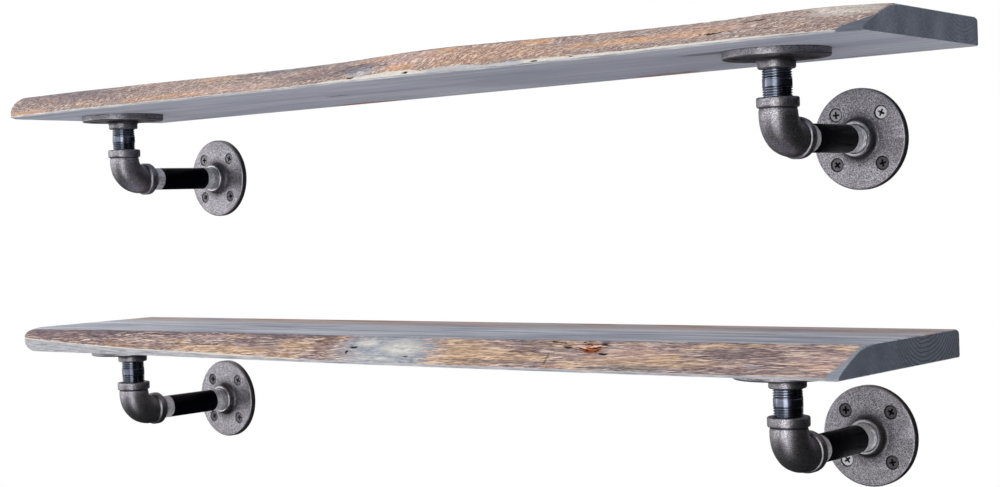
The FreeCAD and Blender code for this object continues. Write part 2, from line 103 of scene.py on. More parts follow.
class Finish:
    """A material's node tree, or the world's, while it is being built."""

    def __init__(self, owner):
        owner.use_nodes = True
        self.owner = owner
        self.tree = owner.node_tree
        self.tree.nodes.clear()

    def node(self, kind, settings=None, inputs=None, output=0):
        """Add a node: its settings first, then the values or links of its sockets."""
        node = self.tree.nodes.new(kind)
        for key, value in (settings or {}).items():
            if key == "stops":
                ramp = node.color_ramp
                while len(ramp.elements) < len(value):
                    ramp.elements.new(0.5)
                for element, (position, colour) in zip(ramp.elements, value):
                    element.position = position
                    element.color = colour
            else:
                setattr(node, key, value)
        for key, value in (inputs or {}).items():
            if isinstance(value, Socket):
                self.tree.links.new(value.socket, node.inputs[key])
            else:
                node.inputs[key].default_value = value
        return Socket(self, node.outputs[output]) if node.outputs else None

    def place(self):
        return self.node("ShaderNodeTexCoord", output="Object")

    def attribute(self, name):
        return self.node("ShaderNodeAttribute", {"attribute_name": name}, output="Fac")

    def parts(self, vector):
        """The three numbers of a vector."""
        split = self.node("ShaderNodeSeparateXYZ", inputs={0: vector})
        return split, split.output("Y"), split.output("Z")

    def point(self, x, y, z=0.0):
        return self.node("ShaderNodeCombineXYZ", inputs={0: x, 1: y, 2: z})

    def noise(self, vector, scale=1.0, detail=2.0, roughness=0.5, distortion=0.0):
        return self.node("ShaderNodeTexNoise", inputs={
            "Vector": vector, "Scale": scale, "Detail": detail,
            "Roughness": roughness, "Distortion": distortion})

    def ramp(self, value, *stops):
        return self.node("ShaderNodeValToRGB", {"stops": stops}, {0: value})

    def rise(self, value, start, end):
        """0 below start, 1 above end and smooth between; start may be the higher one."""
        return self.node("ShaderNodeMapRange", {"interpolation_type": "SMOOTHSTEP"},
                         {"Value": value, "From Min": start, "From Max": end})

    def mix(self, share, first, second, blend="MIX"):
        return self.node("ShaderNodeMix", {"data_type": "RGBA", "blend_type": blend},
                         {0: share, 6: first, 7: second}, output=2)

    def bump(self, height, distance, strength=1.0, below=None):
        inputs = {"Height": height, "Distance": distance, "Strength": strength}
        if below is not None:
            inputs["Normal"] = below
        return self.node("ShaderNodeBump", inputs=inputs)

    def finish_with(self, shader, one_sided=False):
        """Put the shader on the surface; a one-sided surface is clear from behind."""
        if one_sided:
            behind = self.node("ShaderNodeNewGeometry", output="Backfacing")
            clear = self.node("ShaderNodeBsdfTransparent")
            shader = self.node("ShaderNodeMixShader", inputs={0: behind, 1: shader, 2: clear})
        self.node("ShaderNodeOutputMaterial", inputs={"Surface": shader})
        return self.owner

    def surface(self, inputs, one_sided=False):
        """Finish with the plain surface shader, given its sockets' values or links."""
        return self.finish_with(self.node("ShaderNodeBsdfPrincipled", inputs=inputs), one_sided)


def colour(red, green, blue):
    """A colour given by its screen values, from 0 to 255, as the shader wants it."""
    def linear(value):
        share = value / 255
        return share / 12.92 if share <= 0.04045 else ((share + 0.055) / 1.055) ** 2.4
    return (linear(red), linear(green), linear(blue), 1.0)


def shade(tint, factor):
    """A lighter or darker version of a colour."""
    return tuple(min(1.0, value * factor) for value in tint[:3]) + (1.0,)


def new_finish(name):
    return Finish(bpy.data.materials.new(name))


# ------------------------------------------------------------------- mesh helpers
def new_object(name, mesh, finishes=()):
    """Turn a finished bmesh into an object of the scene."""
    data = bpy.data.meshes.new(name)
    mesh.to_mesh(data)
    mesh.free()
    for finish in finishes:
        data.materials.append(finish)
    made = bpy.data.objects.new(name, data)
    bpy.context.scene.collection.objects.link(made)
    return made


def keep(mesh, name, finishes, replaces, smooth_below):
    """Turn a finished bmesh into a piece that rides on the model and stands for a node.

    Edges that turn by fewer degrees than smooth_below are shaded as one surface.
    """
    limit = math.radians(smooth_below)
    for face in mesh.faces:
        face.smooth = True
    for edge in mesh.edges:
        edge.smooth = len(edge.link_faces) == 2 and edge.calc_face_angle(0.0) < limit
    piece = new_object(name, mesh, finishes)
    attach(piece, "root")
    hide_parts(replaces)


def full_spin(mesh, profile, edges, steps):
    """Turn a profile once round the Z axis."""
    bmesh.ops.spin(mesh, geom=profile + edges, cent=(0, 0, 0), axis=(0, 0, 1),
                   angle=math.tau, steps=steps, use_merge=True)


def centre_of(node):
    low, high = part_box(node)
    return (low + high) / 2


def wave(x, y, z=0.0):
    """Smooth noise between about -1 and 1."""
    return noise.noise(Vector((x, y, z)))


def in_metres(sizes):
    """Sizes given in millimetres, in the scene's own unit."""
    return tuple(value * MM for value in sizes)


def part_way(first, second, share):
    return first + (second - first) * share


def clamp(value, low=0.0, high=1.0):
    return max(low, min(high, value))


def ease(value):
    """A smooth step from 0 to 1."""
    value = clamp(value)
    return value * value * (3 - 2 * value)


def corner_cut(from_end, radius):
    """How far a rounded corner falls back at a distance from the end."""
    reach = max(0.0, radius - max(0.0, from_end))
    return radius - math.sqrt(radius ** 2 - reach ** 2)


# ------------------------------------------------------------------- pipe threads
PITCH = 25.4 / 14 * MM          # fourteen threads to the inch
THREAD_DEPTH = 0.85 * MM
THREAD_FLAT = 0.40              # share of the pitch that is flat at the crest, and at the root
THREAD_END = 14.6 * MM          # the full thread, from the end of the pipe
THREAD_FADE = 2.2 * MM          # the last turns, which run out
THREAD_RINGS = 12               # rings of the mesh in each turn of the thread
PLAIN_RINGS = 8                 # and between the two threads
PIPE_SIDES = 60
PIPE_RADIUS = 21.34 / 2 * MM
PIPE_BORE = 15.8 / 2 * MM
PIPE_TAPER = 0.0625 / 2
PIPE_CHAMFER = 0.8 * MM
PIPE_SCRAPED = 23.0 * MM        # from its end, where the black pipe's lacquer starts


def thread_cut(height, turn, pitch, flat):
    """How deep a thread is cut, 0 at the crest and 1 at the root."""
    phase = (height / pitch - turn / math.tau) % 1.0
    slope = abs(2 * phase - 1)
    return clamp((slope - flat) / (1 - 2 * flat))


def pipe_levels(length):
    """Heights of the rings of a pipe's wall: close together where its threads are."""
    fine = PITCH / THREAD_RINGS
    count = int((THREAD_END + THREAD_FADE) / fine)
    near = [i * fine for i in range(count + 1)]
    middle = [part_way(near[-1], length - near[-1], i / PLAIN_RINGS) for i in range(1, PLAIN_RINGS)]
    return near + middle + [length - level for level in reversed(near)]


def nipple(length):
    """A pipe on the Z axis from 0 to its length, with a real thread cut on both ends.

    "bare" holds how far a place is from the nearer end, in millimetres, and "groove" how
    deep in the thread it is.
    """
    mesh = bmesh.new()
    bare = mesh.verts.layers.float.new("bare")
    groove = mesh.verts.layers.float.new("groove")
    profile = [mesh.verts.new((PIPE_RADIUS, 0, level)) for level in pipe_levels(length)]
    profile += [mesh.verts.new((PIPE_BORE, 0, level)) for level in (length, 0.0)]
    edges = [mesh.edges.new(pair) for pair in zip(profile, profile[1:] + profile[:1])]
    full_spin(mesh, profile, edges, PIPE_SIDES)
    for vert in mesh.verts:
        height = vert.co.z
        from_end = min(height, length - height)
        radius = vert.co.xy.length
        vert[bare] = from_end / MM
        if radius < (PIPE_RADIUS + PIPE_BORE) / 2:
            continue
        turn = math.atan2(vert.co.y, vert.co.x)
        taper = max(0.0, THREAD_END - from_end) * PIPE_TAPER
        fade = ease((THREAD_END + THREAD_FADE - from_end) / THREAD_FADE)
        cut = thread_cut(height, turn, PITCH, THREAD_FLAT) * fade
        vert[groove] = cut
        outside = PIPE_RADIUS - taper - THREAD_DEPTH * cut
        if from_end < PIPE_CHAMFER:
            outside -= PIPE_CHAMFER - from_end
        vert.co.xy *= outside / radius
    bmesh.ops.recalc_face_normals(mesh, faces=mesh.faces)
    return mesh


# -------------------------------------------------------------------------- elbow
BAND_RADIUS = 15.3 * MM
BODY_RADIUS = 13.9 * MM
WATERWAY = 9.7 * MM
BEND = 17.5 * MM
BODY_SWELL = 0.35 * MM          # half way to the middle of the bend
BEND_STEPS = 14
ELBOW_SIDES = 56
BAND_EDGE = 6.6 * MM            # from the mouth to the band's inner edge, where a highlight is painted
BAND_GROOVE = 7.9 * MM          # and to the groove behind it, where shade is painted
HIGHLIGHT_REACH = 0.55 * MM
SHADE_REACH = 1.1 * MM
# the lumps of the casting: how close together they come, per metre, and how high they are
LUMPS = ((130, 0.14 * MM), (420, 0.04 * MM))
# the wall of one half of the elbow, from inside the mouth to the start of the bend:
# how far below the mouth, and how far from the axis, both in millimetres
ELBOW_LIP = ((9.0, 10.75), (1.0, 10.8), (0.0, 11.7), (0.0, 14.35), (0.25, 14.85), (0.7, 15.2),
             (1.4, 15.3), (3.0, 15.3), (4.6, 15.3), (6.1, 15.28), (6.7, 15.1), (7.1, 14.7),
             (7.3, 14.1), (7.5, 13.6), (8.0, 13.35), (8.7, 13.55), (9.6, 13.85))


def elbow(reach):
    """A banded elbow about the crossing of its axes; its mouths face +Z and +Y.

    Two layers hold how much painted highlight each place gets on a band's inner edge, and how much painted
    shade in the groove behind it.
    """
    def ring(angle, along):
        turn = Matrix.Rotation(angle, 4, "X")
        if angle == 0.0:
            return Matrix.Translation((0, 0, reach - along)) @ turn
        if angle == math.pi / 2:
            return Matrix.Translation((0, reach - along, 0)) @ turn
        on_bend = (0, BEND * (1 - math.cos(angle)), BEND * (1 - math.sin(angle)))
        return Matrix.Translation(on_bend) @ turn

    lip = [(down * MM, radius * MM) for down, radius in ELBOW_LIP]
    bend = [math.pi / 2 * i / BEND_STEPS for i in range(1, BEND_STEPS)]
    rings = [(ring(0.0, down), radius) for down, radius in lip]
    rings += [(ring(angle, 0.0), BODY_RADIUS + BODY_SWELL * math.sin(2 * angle)) for angle in bend]
    rings += [(ring(math.pi / 2, down), radius) for down, radius in reversed(lip)]
    rings += [(ring(angle, 0.0), WATERWAY) for angle in reversed(bend)]
    rings.append(rings[0])

    mesh = bmesh.new()
    place, radius = rings[0]
    start = bmesh.ops.create_circle(mesh, segments=ELBOW_SIDES, radius=radius, matrix=place)["verts"]
    edges = list({edge for vert in start for edge in vert.link_edges})
    for next_place, next_radius in rings[1:]:
        made = bmesh.ops.extrude_edge_only(mesh, edges=edges)["geom"]
        verts = [item for item in made if isinstance(item, bmesh.types.BMVert)]
        edges = [item for item in made if isinstance(item, bmesh.types.BMEdge)]
        move = next_place @ Matrix.Scale(next_radius / radius, 4) @ place.inverted()
        bmesh.ops.transform(mesh, matrix=move, verts=verts)
        place, radius = next_place, next_radius
    bmesh.ops.remove_doubles(mesh, verts=mesh.verts, dist=1e-6)
    bmesh.ops.recalc_face_normals(mesh, faces=mesh.faces)

    shelter = mesh.verts.layers.float.new("shelter")
    rubbed = mesh.verts.layers.float.new("rubbed")
    # painted shade in the groove behind each band, and a painted highlight along each band's inner edge
    for vert in mesh.verts:
        below_top, below_back = reach - vert.co.z, reach - vert.co.y
        from_band = min(abs(BAND_GROOVE - below_top), abs(BAND_GROOVE - below_back))
        vert[shelter] = 1.0 - ease(from_band / SHADE_REACH)
        from_edge = min(abs(BAND_EDGE - below_top), 0.6 * abs(BAND_EDGE - below_back))
        vert[rubbed] = 1.0 - ease(from_edge / HIGHLIGHT_REACH)
    for vert in mesh.verts:
        vert.co += vert.normal * sum(wave(*(vert.co * rate)) * height for rate, height in LUMPS)
    return mesh


# ------------------------------------------------------------------------- flange
# its sizes in millimetres, as its finish uses them
RIM_RADIUS = 38.5
PLATE = 5.6
HUB_RADIUS = 13.6
HUB_TOP = 13.0
HOLE_OFFSET = 53.6 / 2 * math.sqrt(0.5)     # of a screw from the flange's two middle lines
SINK_RADIUS = 10.9 / 2


def flange(node, axis):
    """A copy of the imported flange, welded, that knows where each place lies on the flange.

    "seat" holds the place in the flange's own directions: two across its axis, and the
    height above the face that it is screwed down by, along the given axis.
    """
    mesh = bmesh.new()
    mesh.from_mesh(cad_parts[node].data)
    bmesh.ops.remove_doubles(mesh, verts=mesh.verts, dist=2e-6)
    middle = centre_of(node)
    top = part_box(node)[1][axis]
    seat = mesh.verts.layers.float_vector.new("seat")
    for vert in mesh.verts:
        away = vert.co - middle
        vert[seat] = (away.x, away[3 - axis], top - vert.co[axis])
    return mesh


# ------------------------------------------------------------------------- screws
HEAD_RADIUS = 9.7 / 2 * MM
NECK_RADIUS = 4.2 / 2 * MM
SCREW_RADIUS = 4.8 / 2 * MM
SCREW_ROOT = 0.75 * MM          # depth of the wood thread
SCREW_PITCH = 2.1 * MM
SCREW_TIP = 5.0 * MM            # the length over which it narrows to its point
SCREW_POINT = 0.05 * MM         # how thick it is left there
SCREW_FLAT = 0.05               # share of the pitch that is flat at the crest, and at the root
SCREW_RINGS = 6                 # rings of the mesh in each turn of the thread
SCREW_SIDES = 24
HEAD_CONE = math.tan(math.radians(41))
HEAD_LEVEL = 4.96 * MM          # the head's face above the flange's back
HEAD_EDGE = (0.35 * MM, 0.30 * MM)      # its softened edge, in from the side and down from the face
# a blade of the cross recess: its length, its width and how high it reaches, in millimetres
BLADE_TOP = (6.2, 1.75, 0.3)
BLADE_BOTTOM = (3.0, 0.9, -2.2)


def screw(length):
    """A countersunk cross-head wood screw down the Z axis, its head's face at Z = 0."""
    cone = (HEAD_RADIUS - NECK_RADIUS) / HEAD_CONE
    edge_in, edge_down = HEAD_EDGE
    outline = [(0.0, 0.0), (HEAD_RADIUS - edge_in, 0.0), (HEAD_RADIUS, -edge_down),
               (NECK_RADIUS, -cone), (NECK_RADIUS, -HEAD_LEVEL)]
    rows = int((length - HEAD_LEVEL) / SCREW_PITCH * SCREW_RINGS)
    outline += [(SCREW_RADIUS, part_way(-HEAD_LEVEL, -length, i / rows)) for i in range(rows)]
    outline.append((0.0, -length))
    mesh = bmesh.new()
    profile = [mesh.verts.new((radius, 0, height)) for radius, height in outline]
    edges = [mesh.edges.new(pair) for pair in zip(profile, profile[1:])]
    full_spin(mesh, profile, edges, SCREW_SIDES)
    bmesh.ops.remove_doubles(mesh, verts=mesh.verts, dist=1e-7)
    for vert in mesh.verts:
        height = vert.co.z
        radius = vert.co.xy.length
        if height > -HEAD_LEVEL - 0.1 * MM or radius == 0.0:
            continue        # the head and the neck stay as they were turned
        turn = math.atan2(vert.co.y, vert.co.x)
        point = clamp((height + length) / SCREW_TIP)
        root = SCREW_ROOT * thread_cut(height, turn, SCREW_PITCH, SCREW_FLAT)
        vert.co.xy *= max(SCREW_POINT, (SCREW_RADIUS - root) * point) / radius
    bmesh.ops.recalc_face_normals(mesh, faces=mesh.faces)
    return mesh


def cross_recess():
    """The tool that sinks a screw's cross: two tapered blades crossing on the Z axis."""
    mesh = bmesh.new()
    for turn in (0.0, math.pi / 2):
        blade = bmesh.ops.create_cube(mesh, size=1.0)["verts"]
        for vert in blade:
            length, width, level = BLADE_BOTTOM if vert.co.z < 0 else BLADE_TOP
            vert.co = Vector((vert.co.x * length, vert.co.y * width, level)) * MM
        bmesh.ops.rotate(mesh, verts=blade, cent=(0, 0, 0), matrix=Matrix.Rotation(turn, 3, "Z"))
    return mesh


def sunk_screw(length):
    """The screw with its cross recess cut, as mesh data to copy."""
    blank = new_object("screw_blank", screw(length))
    tool = new_object("recess_tool", cross_recess())
    cut = blank.modifiers.new("recess", "BOOLEAN")
    cut.object = tool
    cut.operation = "DIFFERENCE"
    cut.solver = "EXACT"
    cut.use_self = True
    data = bpy.data.meshes.new_from_object(blank.evaluated_get(bpy.context.evaluated_depsgraph_get()))
    for helper in (blank, tool):
        bpy.data.objects.remove(helper)
    return data


def screw_set(screw_data, places, bright):
    """Four copies of a screw, each put where its matrix says, as one mesh.

    "bright" and "sunk" hold how worn its head is and which places lie in its cross recess.
    """
    mesh = bmesh.new()
    shine = mesh.verts.layers.float.new("bright")
    sunk = mesh.verts.layers.float.new("sunk")
    for place, is_bright in zip(places, bright):
        before = len(mesh.verts)
        mesh.from_mesh(screw_data)
        mesh.verts.ensure_lookup_table()
        added = mesh.verts[before:]
        for vert in added:
            inside_head = vert.co.xy.length < HEAD_RADIUS + vert.co.z - 0.3 * MM
            vert[sunk] = 1.0 if inside_head and vert.co.z < -0.2 * MM else 0.0
            vert[shine] = is_bright
        bmesh.ops.transform(mesh, matrix=place, verts=added)
    return mesh


# ------------------------------------------------------------------------- planks
COLUMNS = 600
ROWS_DEEP = 32
ROWS_HIGH = 22
SAWN_SHARE = 3 / ROWS_HIGH      # of the rows on the front, those that lie on the sawn strip
END_COLUMNS = 12                # columns that crowd together at each end
END_ROUND = 22 * MM             # and the length that they cover
END_EASE = 1.3 * MM             # the softened edge round each sawn end
REAR_ROUNDS = (4 * MM, 8 * MM)  # radii of the rear edges, below and above
REAR_ROWS_AT = (0.25, 0.60)     # shares of the rows where those two roundings end and start
REAR_CORNER = 4 * MM            # the rounded corner between the rear and each end
REAR_ROWS = 5                   # rows that crowd together over the rear corners
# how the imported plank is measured
OUTSIDE = 50 * MM               # rays start this far off
END_READINGS = (-30 * MM, -130 * MM)    # the two places on an end that give its slant
SAWN_READINGS = 48              # places along the plank where the sawn strip's height is read
SAWN_INSET = (40 * MM, 20 * MM)         # of the first and the last of them, from their ends
SAWN_STEPS = 84                 # heights that are tried there
SAWN_LIMIT = 0.12 * MM          # the strip ends where the face leaves its foot by this much


class SolidPlank:
    """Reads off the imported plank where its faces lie."""

    def __init__(self, node):
        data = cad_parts[node].data
        self.tree = BVHTree.FromPolygons([vert.co.copy() for vert in data.vertices],
                                         [tuple(face.vertices) for face in data.polygons])
        self.low, self.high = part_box(node)
        self.thickness = self.high.z - self.low.z
        self.tip = max(-(vert.co.x + vert.co.y) * math.sqrt(0.5) for vert in data.vertices)
        self.ends = [self.find_end(self.low.x - OUTSIDE, 1.0), self.find_end(self.high.x + OUTSIDE, -1.0)]
        first, last = self.low.x + SAWN_INSET[0], self.high.x - SAWN_INSET[1]
        found = [self.find_sawn_height(part_way(first, last, i / SAWN_READINGS))
                 for i in range(SAWN_READINGS + 1)]
        neighbours = [found[max(i - 1, 0):i + 2] for i in range(len(found))]
        self.sawn = [sum(heights) / len(heights) for heights in neighbours]
        self.fronts = {}
        self.rears = {}

    def hit(self, start, way):
        return self.tree.ray_cast(Vector(start), Vector(way))[0]

    def find_end(self, start, way):
        """X of a sawn end at the wall, and how it changes with y."""
        near, far = END_READINGS
        middle = self.low.z + self.thickness / 2
        at_near, at_far = (self.hit((start, y, middle), (way, 0, 0)).x for y in END_READINGS)
        slope = (at_far - at_near) / (far - near)
        return at_near - slope * near, slope

    def find_sawn_height(self, x):
        """The height up to which the front face stands upright there."""
        foot = self.face(x, self.low.z, 1)
        for i in range(1, SAWN_STEPS):
            height = self.thickness * i / SAWN_STEPS
            if abs(self.face(x, self.low.z + height, 1) - foot) > SAWN_LIMIT:
                return self.thickness * (i - 1) / SAWN_STEPS
        return self.thickness / 2

    def face(self, x, z, way):
        """Y of the front (way 1) or rear (way -1) face at a place along the length and a height."""
        margin = 0.05 * MM
        z = clamp(z, self.low.z + margin, self.high.z - margin)
        y = self.low.y - OUTSIDE if way > 0 else self.high.y + OUTSIDE
        found = self.hit((x, y, z), (0, way, 0))
        while found is None:        # past the end, so a little further in
            x = part_way(x, (self.low.x + self.high.x) / 2, 0.0005)
            found = self.hit((x, y, z), (0, way, 0))
        return found.y

    def across(self, share, y):
        """X at a share of the length, on the line between both ends at a distance from the wall."""
        cut = corner_cut(self.high.y - y, REAR_CORNER)
        left, right = (at_wall + slope * y for at_wall, slope in self.ends)
        return part_way(left + cut, right - cut, share)

    def from_end(self, x, y):
        """How far a place lies from the nearer end."""
        return min(abs(x - self.across(0.0, y)), abs(self.across(1.0, y) - x))

    def from_tip(self, x, y):
        """How far a place lies behind the front left corner, on the diagonal."""
        return self.tip + (x + y) * math.sqrt(0.5)

    def sawn_height(self, x):
        """Height of the square-sawn strip at the front edge's foot, smoothed along the length."""
        place = clamp((x - self.low.x) / (self.high.x - self.low.x)) * (len(self.sawn) - 1)
        before = min(int(place), len(self.sawn) - 2)
        return part_way(self.sawn[before], self.sawn[before + 1], place - before)

    def front(self, share, up):
        """Y and height of the front face, and the sawn strip's height, where a column crosses a row."""
        if (share, up) not in self.fronts:
            y = self.low.y + 15 * MM
            for _ in range(3):      # x and y depend on each other, and settle in a few rounds
                x = self.across(share, y)
                sawn = self.sawn_height(x)
                if up < SAWN_SHARE:
                    height = sawn * up / SAWN_SHARE
                else:
                    height = part_way(sawn, self.thickness, (up - SAWN_SHARE) / (1 - SAWN_SHARE))
                y = self.face(x, self.low.z + height, 1)
            self.fronts[share, up] = (y, height, sawn)
        return self.fronts[share, up]

    def rear(self, up):
        """Y and height of a row on the rear face, which is the same all along the plank."""
        if up not in self.rears:
            height = rear_height(up, self.thickness)
            y = self.face((self.low.x + self.high.x) / 2, self.low.z + height, -1)
            self.rears[up] = (y, height)
        return self.rears[up]


def board_block():
    """A block one metre each way, cut into a grid on every side."""
    block = bmesh.new()
    bmesh.ops.create_cube(block, size=1.0)
    for axis, count in enumerate((COLUMNS, ROWS_DEEP, ROWS_HIGH)):
        along = [edge for edge in block.edges
                 if abs((edge.verts[1].co - edge.verts[0].co).normalized()[axis]) > 0.9]
        bmesh.ops.subdivide_edges(block, edges=along, cuts=count - 1, use_grid_fill=True)
    return block


def crowd_ends(share, length):
    """Spread columns evenly along a length, but crowd them towards both rounded ends."""
    lead = END_COLUMNS / COLUMNS
    round_share = END_ROUND / length
    if share < lead:
        return round_share * (1 - math.cos(math.pi / 2 * share / lead))
    if share > 1 - lead:
        return 1 - crowd_ends(1 - share, length)
    return part_way(round_share, 1 - round_share, (share - lead) / (1 - 2 * lead))


def crowd_rear(share, depth):
    """Spread rows evenly from front to back, but crowd the last of them over the rear corners."""
    lead = REAR_ROWS / ROWS_DEEP
    corner_share = REAR_CORNER / depth
    if share > 1 - lead:
        return 1 - corner_share * (1 - math.cos(math.pi / 2 * (1 - share) / lead))
    return (1 - corner_share) * share / (1 - lead)


def rear_height(share, thickness):
    """Height of a row on the rear face, with the rows crowded over its rounded edges."""
    below, above = REAR_ROUNDS
    lower_end, upper_start = REAR_ROWS_AT
    if share < lower_end:
        return below * (1 - math.cos(math.pi / 2 * share / lower_end))
    if share > upper_start:
        return thickness - above * (1 - math.cos(math.pi / 2 * (1 - share) / (1 - upper_start)))
    return part_way(below, thickness - above, (share - lower_end) / (upper_start - lower_end))


def bark_relief(looks, x, up):
    """How far the bark side stands out at a place: ripples, strands across them, and hollows."""
    seed = looks["seed"]
    slant = looks["slant"]
    along = x * math.cos(slant) + up * math.sin(slant)
    across = up * math.cos(slant) - x * math.sin(slant)
    swirl = wave(x * 30, up * 90, seed) * looks["curl"] * MM * 0.5
    ripple = wave(x * 24, up * 55, seed) * looks["ripple"]
    strand = wave(along * 75, (across + swirl) * 330, seed + 5) * looks["strand"]
    fine = wave(along * 260, (across + swirl) * 1100, seed + 9) * looks["strand"] * 0.5
    height = (ripple + strand + fine) * MM
    for hollow in looks["hollows"]:
        middle, level, half_length, half_height, depth = in_metres(hollow)
        away = math.hypot((x - middle) / half_length, (up - level) / half_height)
        height -= depth * ease(1.25 - away) * (1 + 0.35 * wave(x * 500, up * 500, seed))
    return height


def girth_on_front(z, sawn, slope, thickness):
    """How far up the front face a height lies, along the sawn strip and then the slope."""
    return z if z <= sawn else sawn + slope * (z - sawn) / (thickness - sawn)


def plank(shelf):
    """The detailed plank: a gridded block laid on the solid plank, then roughened.

    "girth" holds how far each place is round from the foot of the front: up the front and back
    over the top, and below 0 under the plank.  "sawn_top" and "brow" hold the girth where the
    sawn strip and the bark side end there, and "end_gap" how far it is to the right end.
    """
    looks = PLANKS[shelf]
    solid = SolidPlank(f"{shelf}_plank")
    depth = solid.high.y - solid.low.y
    block = board_block()
    girth = block.verts.layers.float.new("girth")
    sawn_top = block.verts.layers.float.new("sawn_top")
    brow = block.verts.layers.float.new("brow")
    end_gap = block.verts.layers.float.new("end_gap")
    half = Vector((0.5, 0.5, 0.5))
    nose_reach, *nose_radii = in_metres(looks["nose"])
    for vert in block.verts:
        along, back, up = (round(value, 6) for value in vert.co + half)
        share = crowd_ends(along, solid.high.x - solid.low.x)
        front_y, front_z, sawn = solid.front(share, up)
        foot_y = solid.front(share, 0.0)[0]
        brow_y = solid.front(share, 1.0)[0]
        rear_y, rear_z = solid.rear(up)
        back = crowd_rear(back, depth)
        y = part_way(front_y, rear_y, back)
        z = part_way(front_z, rear_z, back)
        x = solid.across(share, y)
        from_end = solid.from_end(x, y)
        slope = math.hypot(brow_y - foot_y, solid.thickness - sawn)
        vert[sawn_top] = sawn
        vert[brow] = sawn + slope
        vert[end_gap] = solid.across(1.0, y) - x
        if back == 0.0:
            vert[girth] = girth_on_front(z, sawn, slope, solid.thickness)
            inside = ease(from_end / (3 * MM))      # the sawn ends' outline stays clean
            if up > SAWN_SHARE:
                normal = Vector((0, -(solid.thickness - sawn), brow_y - foot_y)).normalized()
                shift = normal * bark_relief(looks, x, vert[girth]) * inside
                y += shift.y
                z = min(z + shift.z, solid.thickness)
            else:
                y += wave(x * 300, z * 900, 4.0) * 0.1 * MM * inside
        elif up == 1.0:
            vert[girth] = vert[brow] + (y - brow_y)
        elif up == 0.0:
            vert[girth] = foot_y - y
        else:
            vert[girth] = vert[brow] + depth
        below, above = (max(corner_cut(from_end, END_EASE),
                            corner_cut(solid.from_tip(x, y) * radius / nose_reach, radius))
                        for radius in nose_radii)
        z = below + z * (solid.thickness - below - above) / solid.thickness
        vert.co = (x, y, solid.low.z + z)

    block.normal_update()
    for face in block.faces:
        if abs(face.normal.x) > 0.8 and all(
                solid.from_end(vert.co.x, vert.co.y) < 3 * MM for vert in face.verts):
            face.material_index = 1     # end grain
    bmesh.ops.recalc_face_normals(block, faces=block.faces)
    return block


# ---------------------------------------------------------------------- materials
def cast_iron(finish, painted_shade, rubbed):
    """Grey iron with the grain of the sand, darkened by painted shade in sheltered places, and brightened
    by a painted highlight on edges and by the bare colour of a machined hub face.
    """
    place = finish.place()
    grain = finish.noise(place, 1500.0, 2.0, 0.6)
    speck = finish.noise(place, 2400.0, 1.0, 0.5)
    cloud = finish.noise(place, 65.0, 3.0, 0.6)
    tone = finish.ramp(grain * 0.6 + speck * 0.4, (0.37, colour(80, 78, 84)),
                       (0.5, colour(144, 141, 147)), (0.62, colour(208, 206, 212)))
    tone = finish.mix(finish.rise(cloud, 0.45, 0.72) * 0.35, tone, colour(104, 100, 104))
    # painted shade where the mask says
    tone = finish.mix(painted_shade * 0.72, tone, colour(30, 28, 31))
    # a painted highlight on edges; on a flange's hub it also gives the machined face its own brightness
    tone = finish.mix(rubbed * 0.7, tone, colour(205, 204, 209))
    dents = finish.bump(grain, 0.30 * MM, 0.45)
    return finish.surface({
        "Base Color": tone, "Metallic": 0.97,
        "Roughness": 0.47 - rubbed * 0.14 - finish.rise(grain, 0.35, 0.65) * 0.12,
        "Normal": finish.bump(speck, 0.10 * MM, 0.2, dents)})


def elbow_iron():
    """The iron of an elbow: painted shade in the grooves behind its bands and a painted highlight on their
    edges.
    """
    finish = new_finish("elbow_cast_iron")
    return cast_iron(finish, finish.attribute("shelter"), finish.attribute("rubbed"))


def flange_iron():
    """The iron of a flange: painted shade in the corner round its hub, in its screw holes and on its back;
    a painted highlight on its rim's edge; its machined hub face bright.
    """
    finish = new_finish("flange_cast_iron")
    seat = finish.node("ShaderNodeAttribute", {"attribute_name": "seat"}, output="Vector")
    across, along, height = finish.parts(seat)
    across, along, height = across / MM, along / MM, height / MM
    radius = (across * across + along * along) ** 0.5
    ragged = finish.noise(finish.place(), 300.0, 2.0) * 3.0 - 1.5
    # painted shade: in the corner round the hub, in the countersinks and on the back face that sits against
    # the wall or the plank
    on_plate = finish.rise(height, PLATE + 5.5, PLATE + 0.5)
    round_hub = finish.rise(radius + ragged, HUB_RADIUS + 11.0, HUB_RADIUS + 0.5) * on_plate
    from_hole = ((abs(across) - HOLE_OFFSET) ** 2.0 + (abs(along) - HOLE_OFFSET) ** 2.0) ** 0.5
    in_hole = finish.rise(from_hole, SINK_RADIUS + 0.35, SINK_RADIUS - 0.1)
    behind = finish.rise(height, 0.9, 0.4)
    painted_shade = round_hub + in_hole * 0.9 + behind * 0.5
    painted_shade = painted_shade.math("MINIMUM", painted_shade, 1.0)
    # a painted highlight along the rim's front edge; the hub's machined face is bright in its own colour
    rim_edge = (finish.rise(radius, RIM_RADIUS - 1.1, RIM_RADIUS - 0.3)
                * finish.rise(height, PLATE - 2.0, PLATE - 0.8))
    hub_face = finish.rise(height, HUB_TOP - 0.8, HUB_TOP - 0.2)
    return cast_iron(finish, painted_shade, rim_edge * 0.45 + hub_face * 0.8)


def bright_nipple():
    """Plain steel, painted darker than freshly cut threads as shade for the dim surroundings that it
    mirrors.
    """
    finish = new_finish("bare_steel_nipple")
    stain = finish.noise(finish.place(), 110.0, 2.0, 0.5)
    tone = finish.ramp(stain, (0.34, colour(90, 96, 111)), (0.62, colour(128, 134, 149)))
    # painted shade in the thread grooves
    tone = finish.mix(finish.attribute("groove") * 0.6, tone, colour(18, 20, 28))
    return finish.surface({"Base Color": tone, "Metallic": 1.0,
                           "Roughness": finish.rise(stain, 0.7, 0.3) * 0.06 + 0.18})


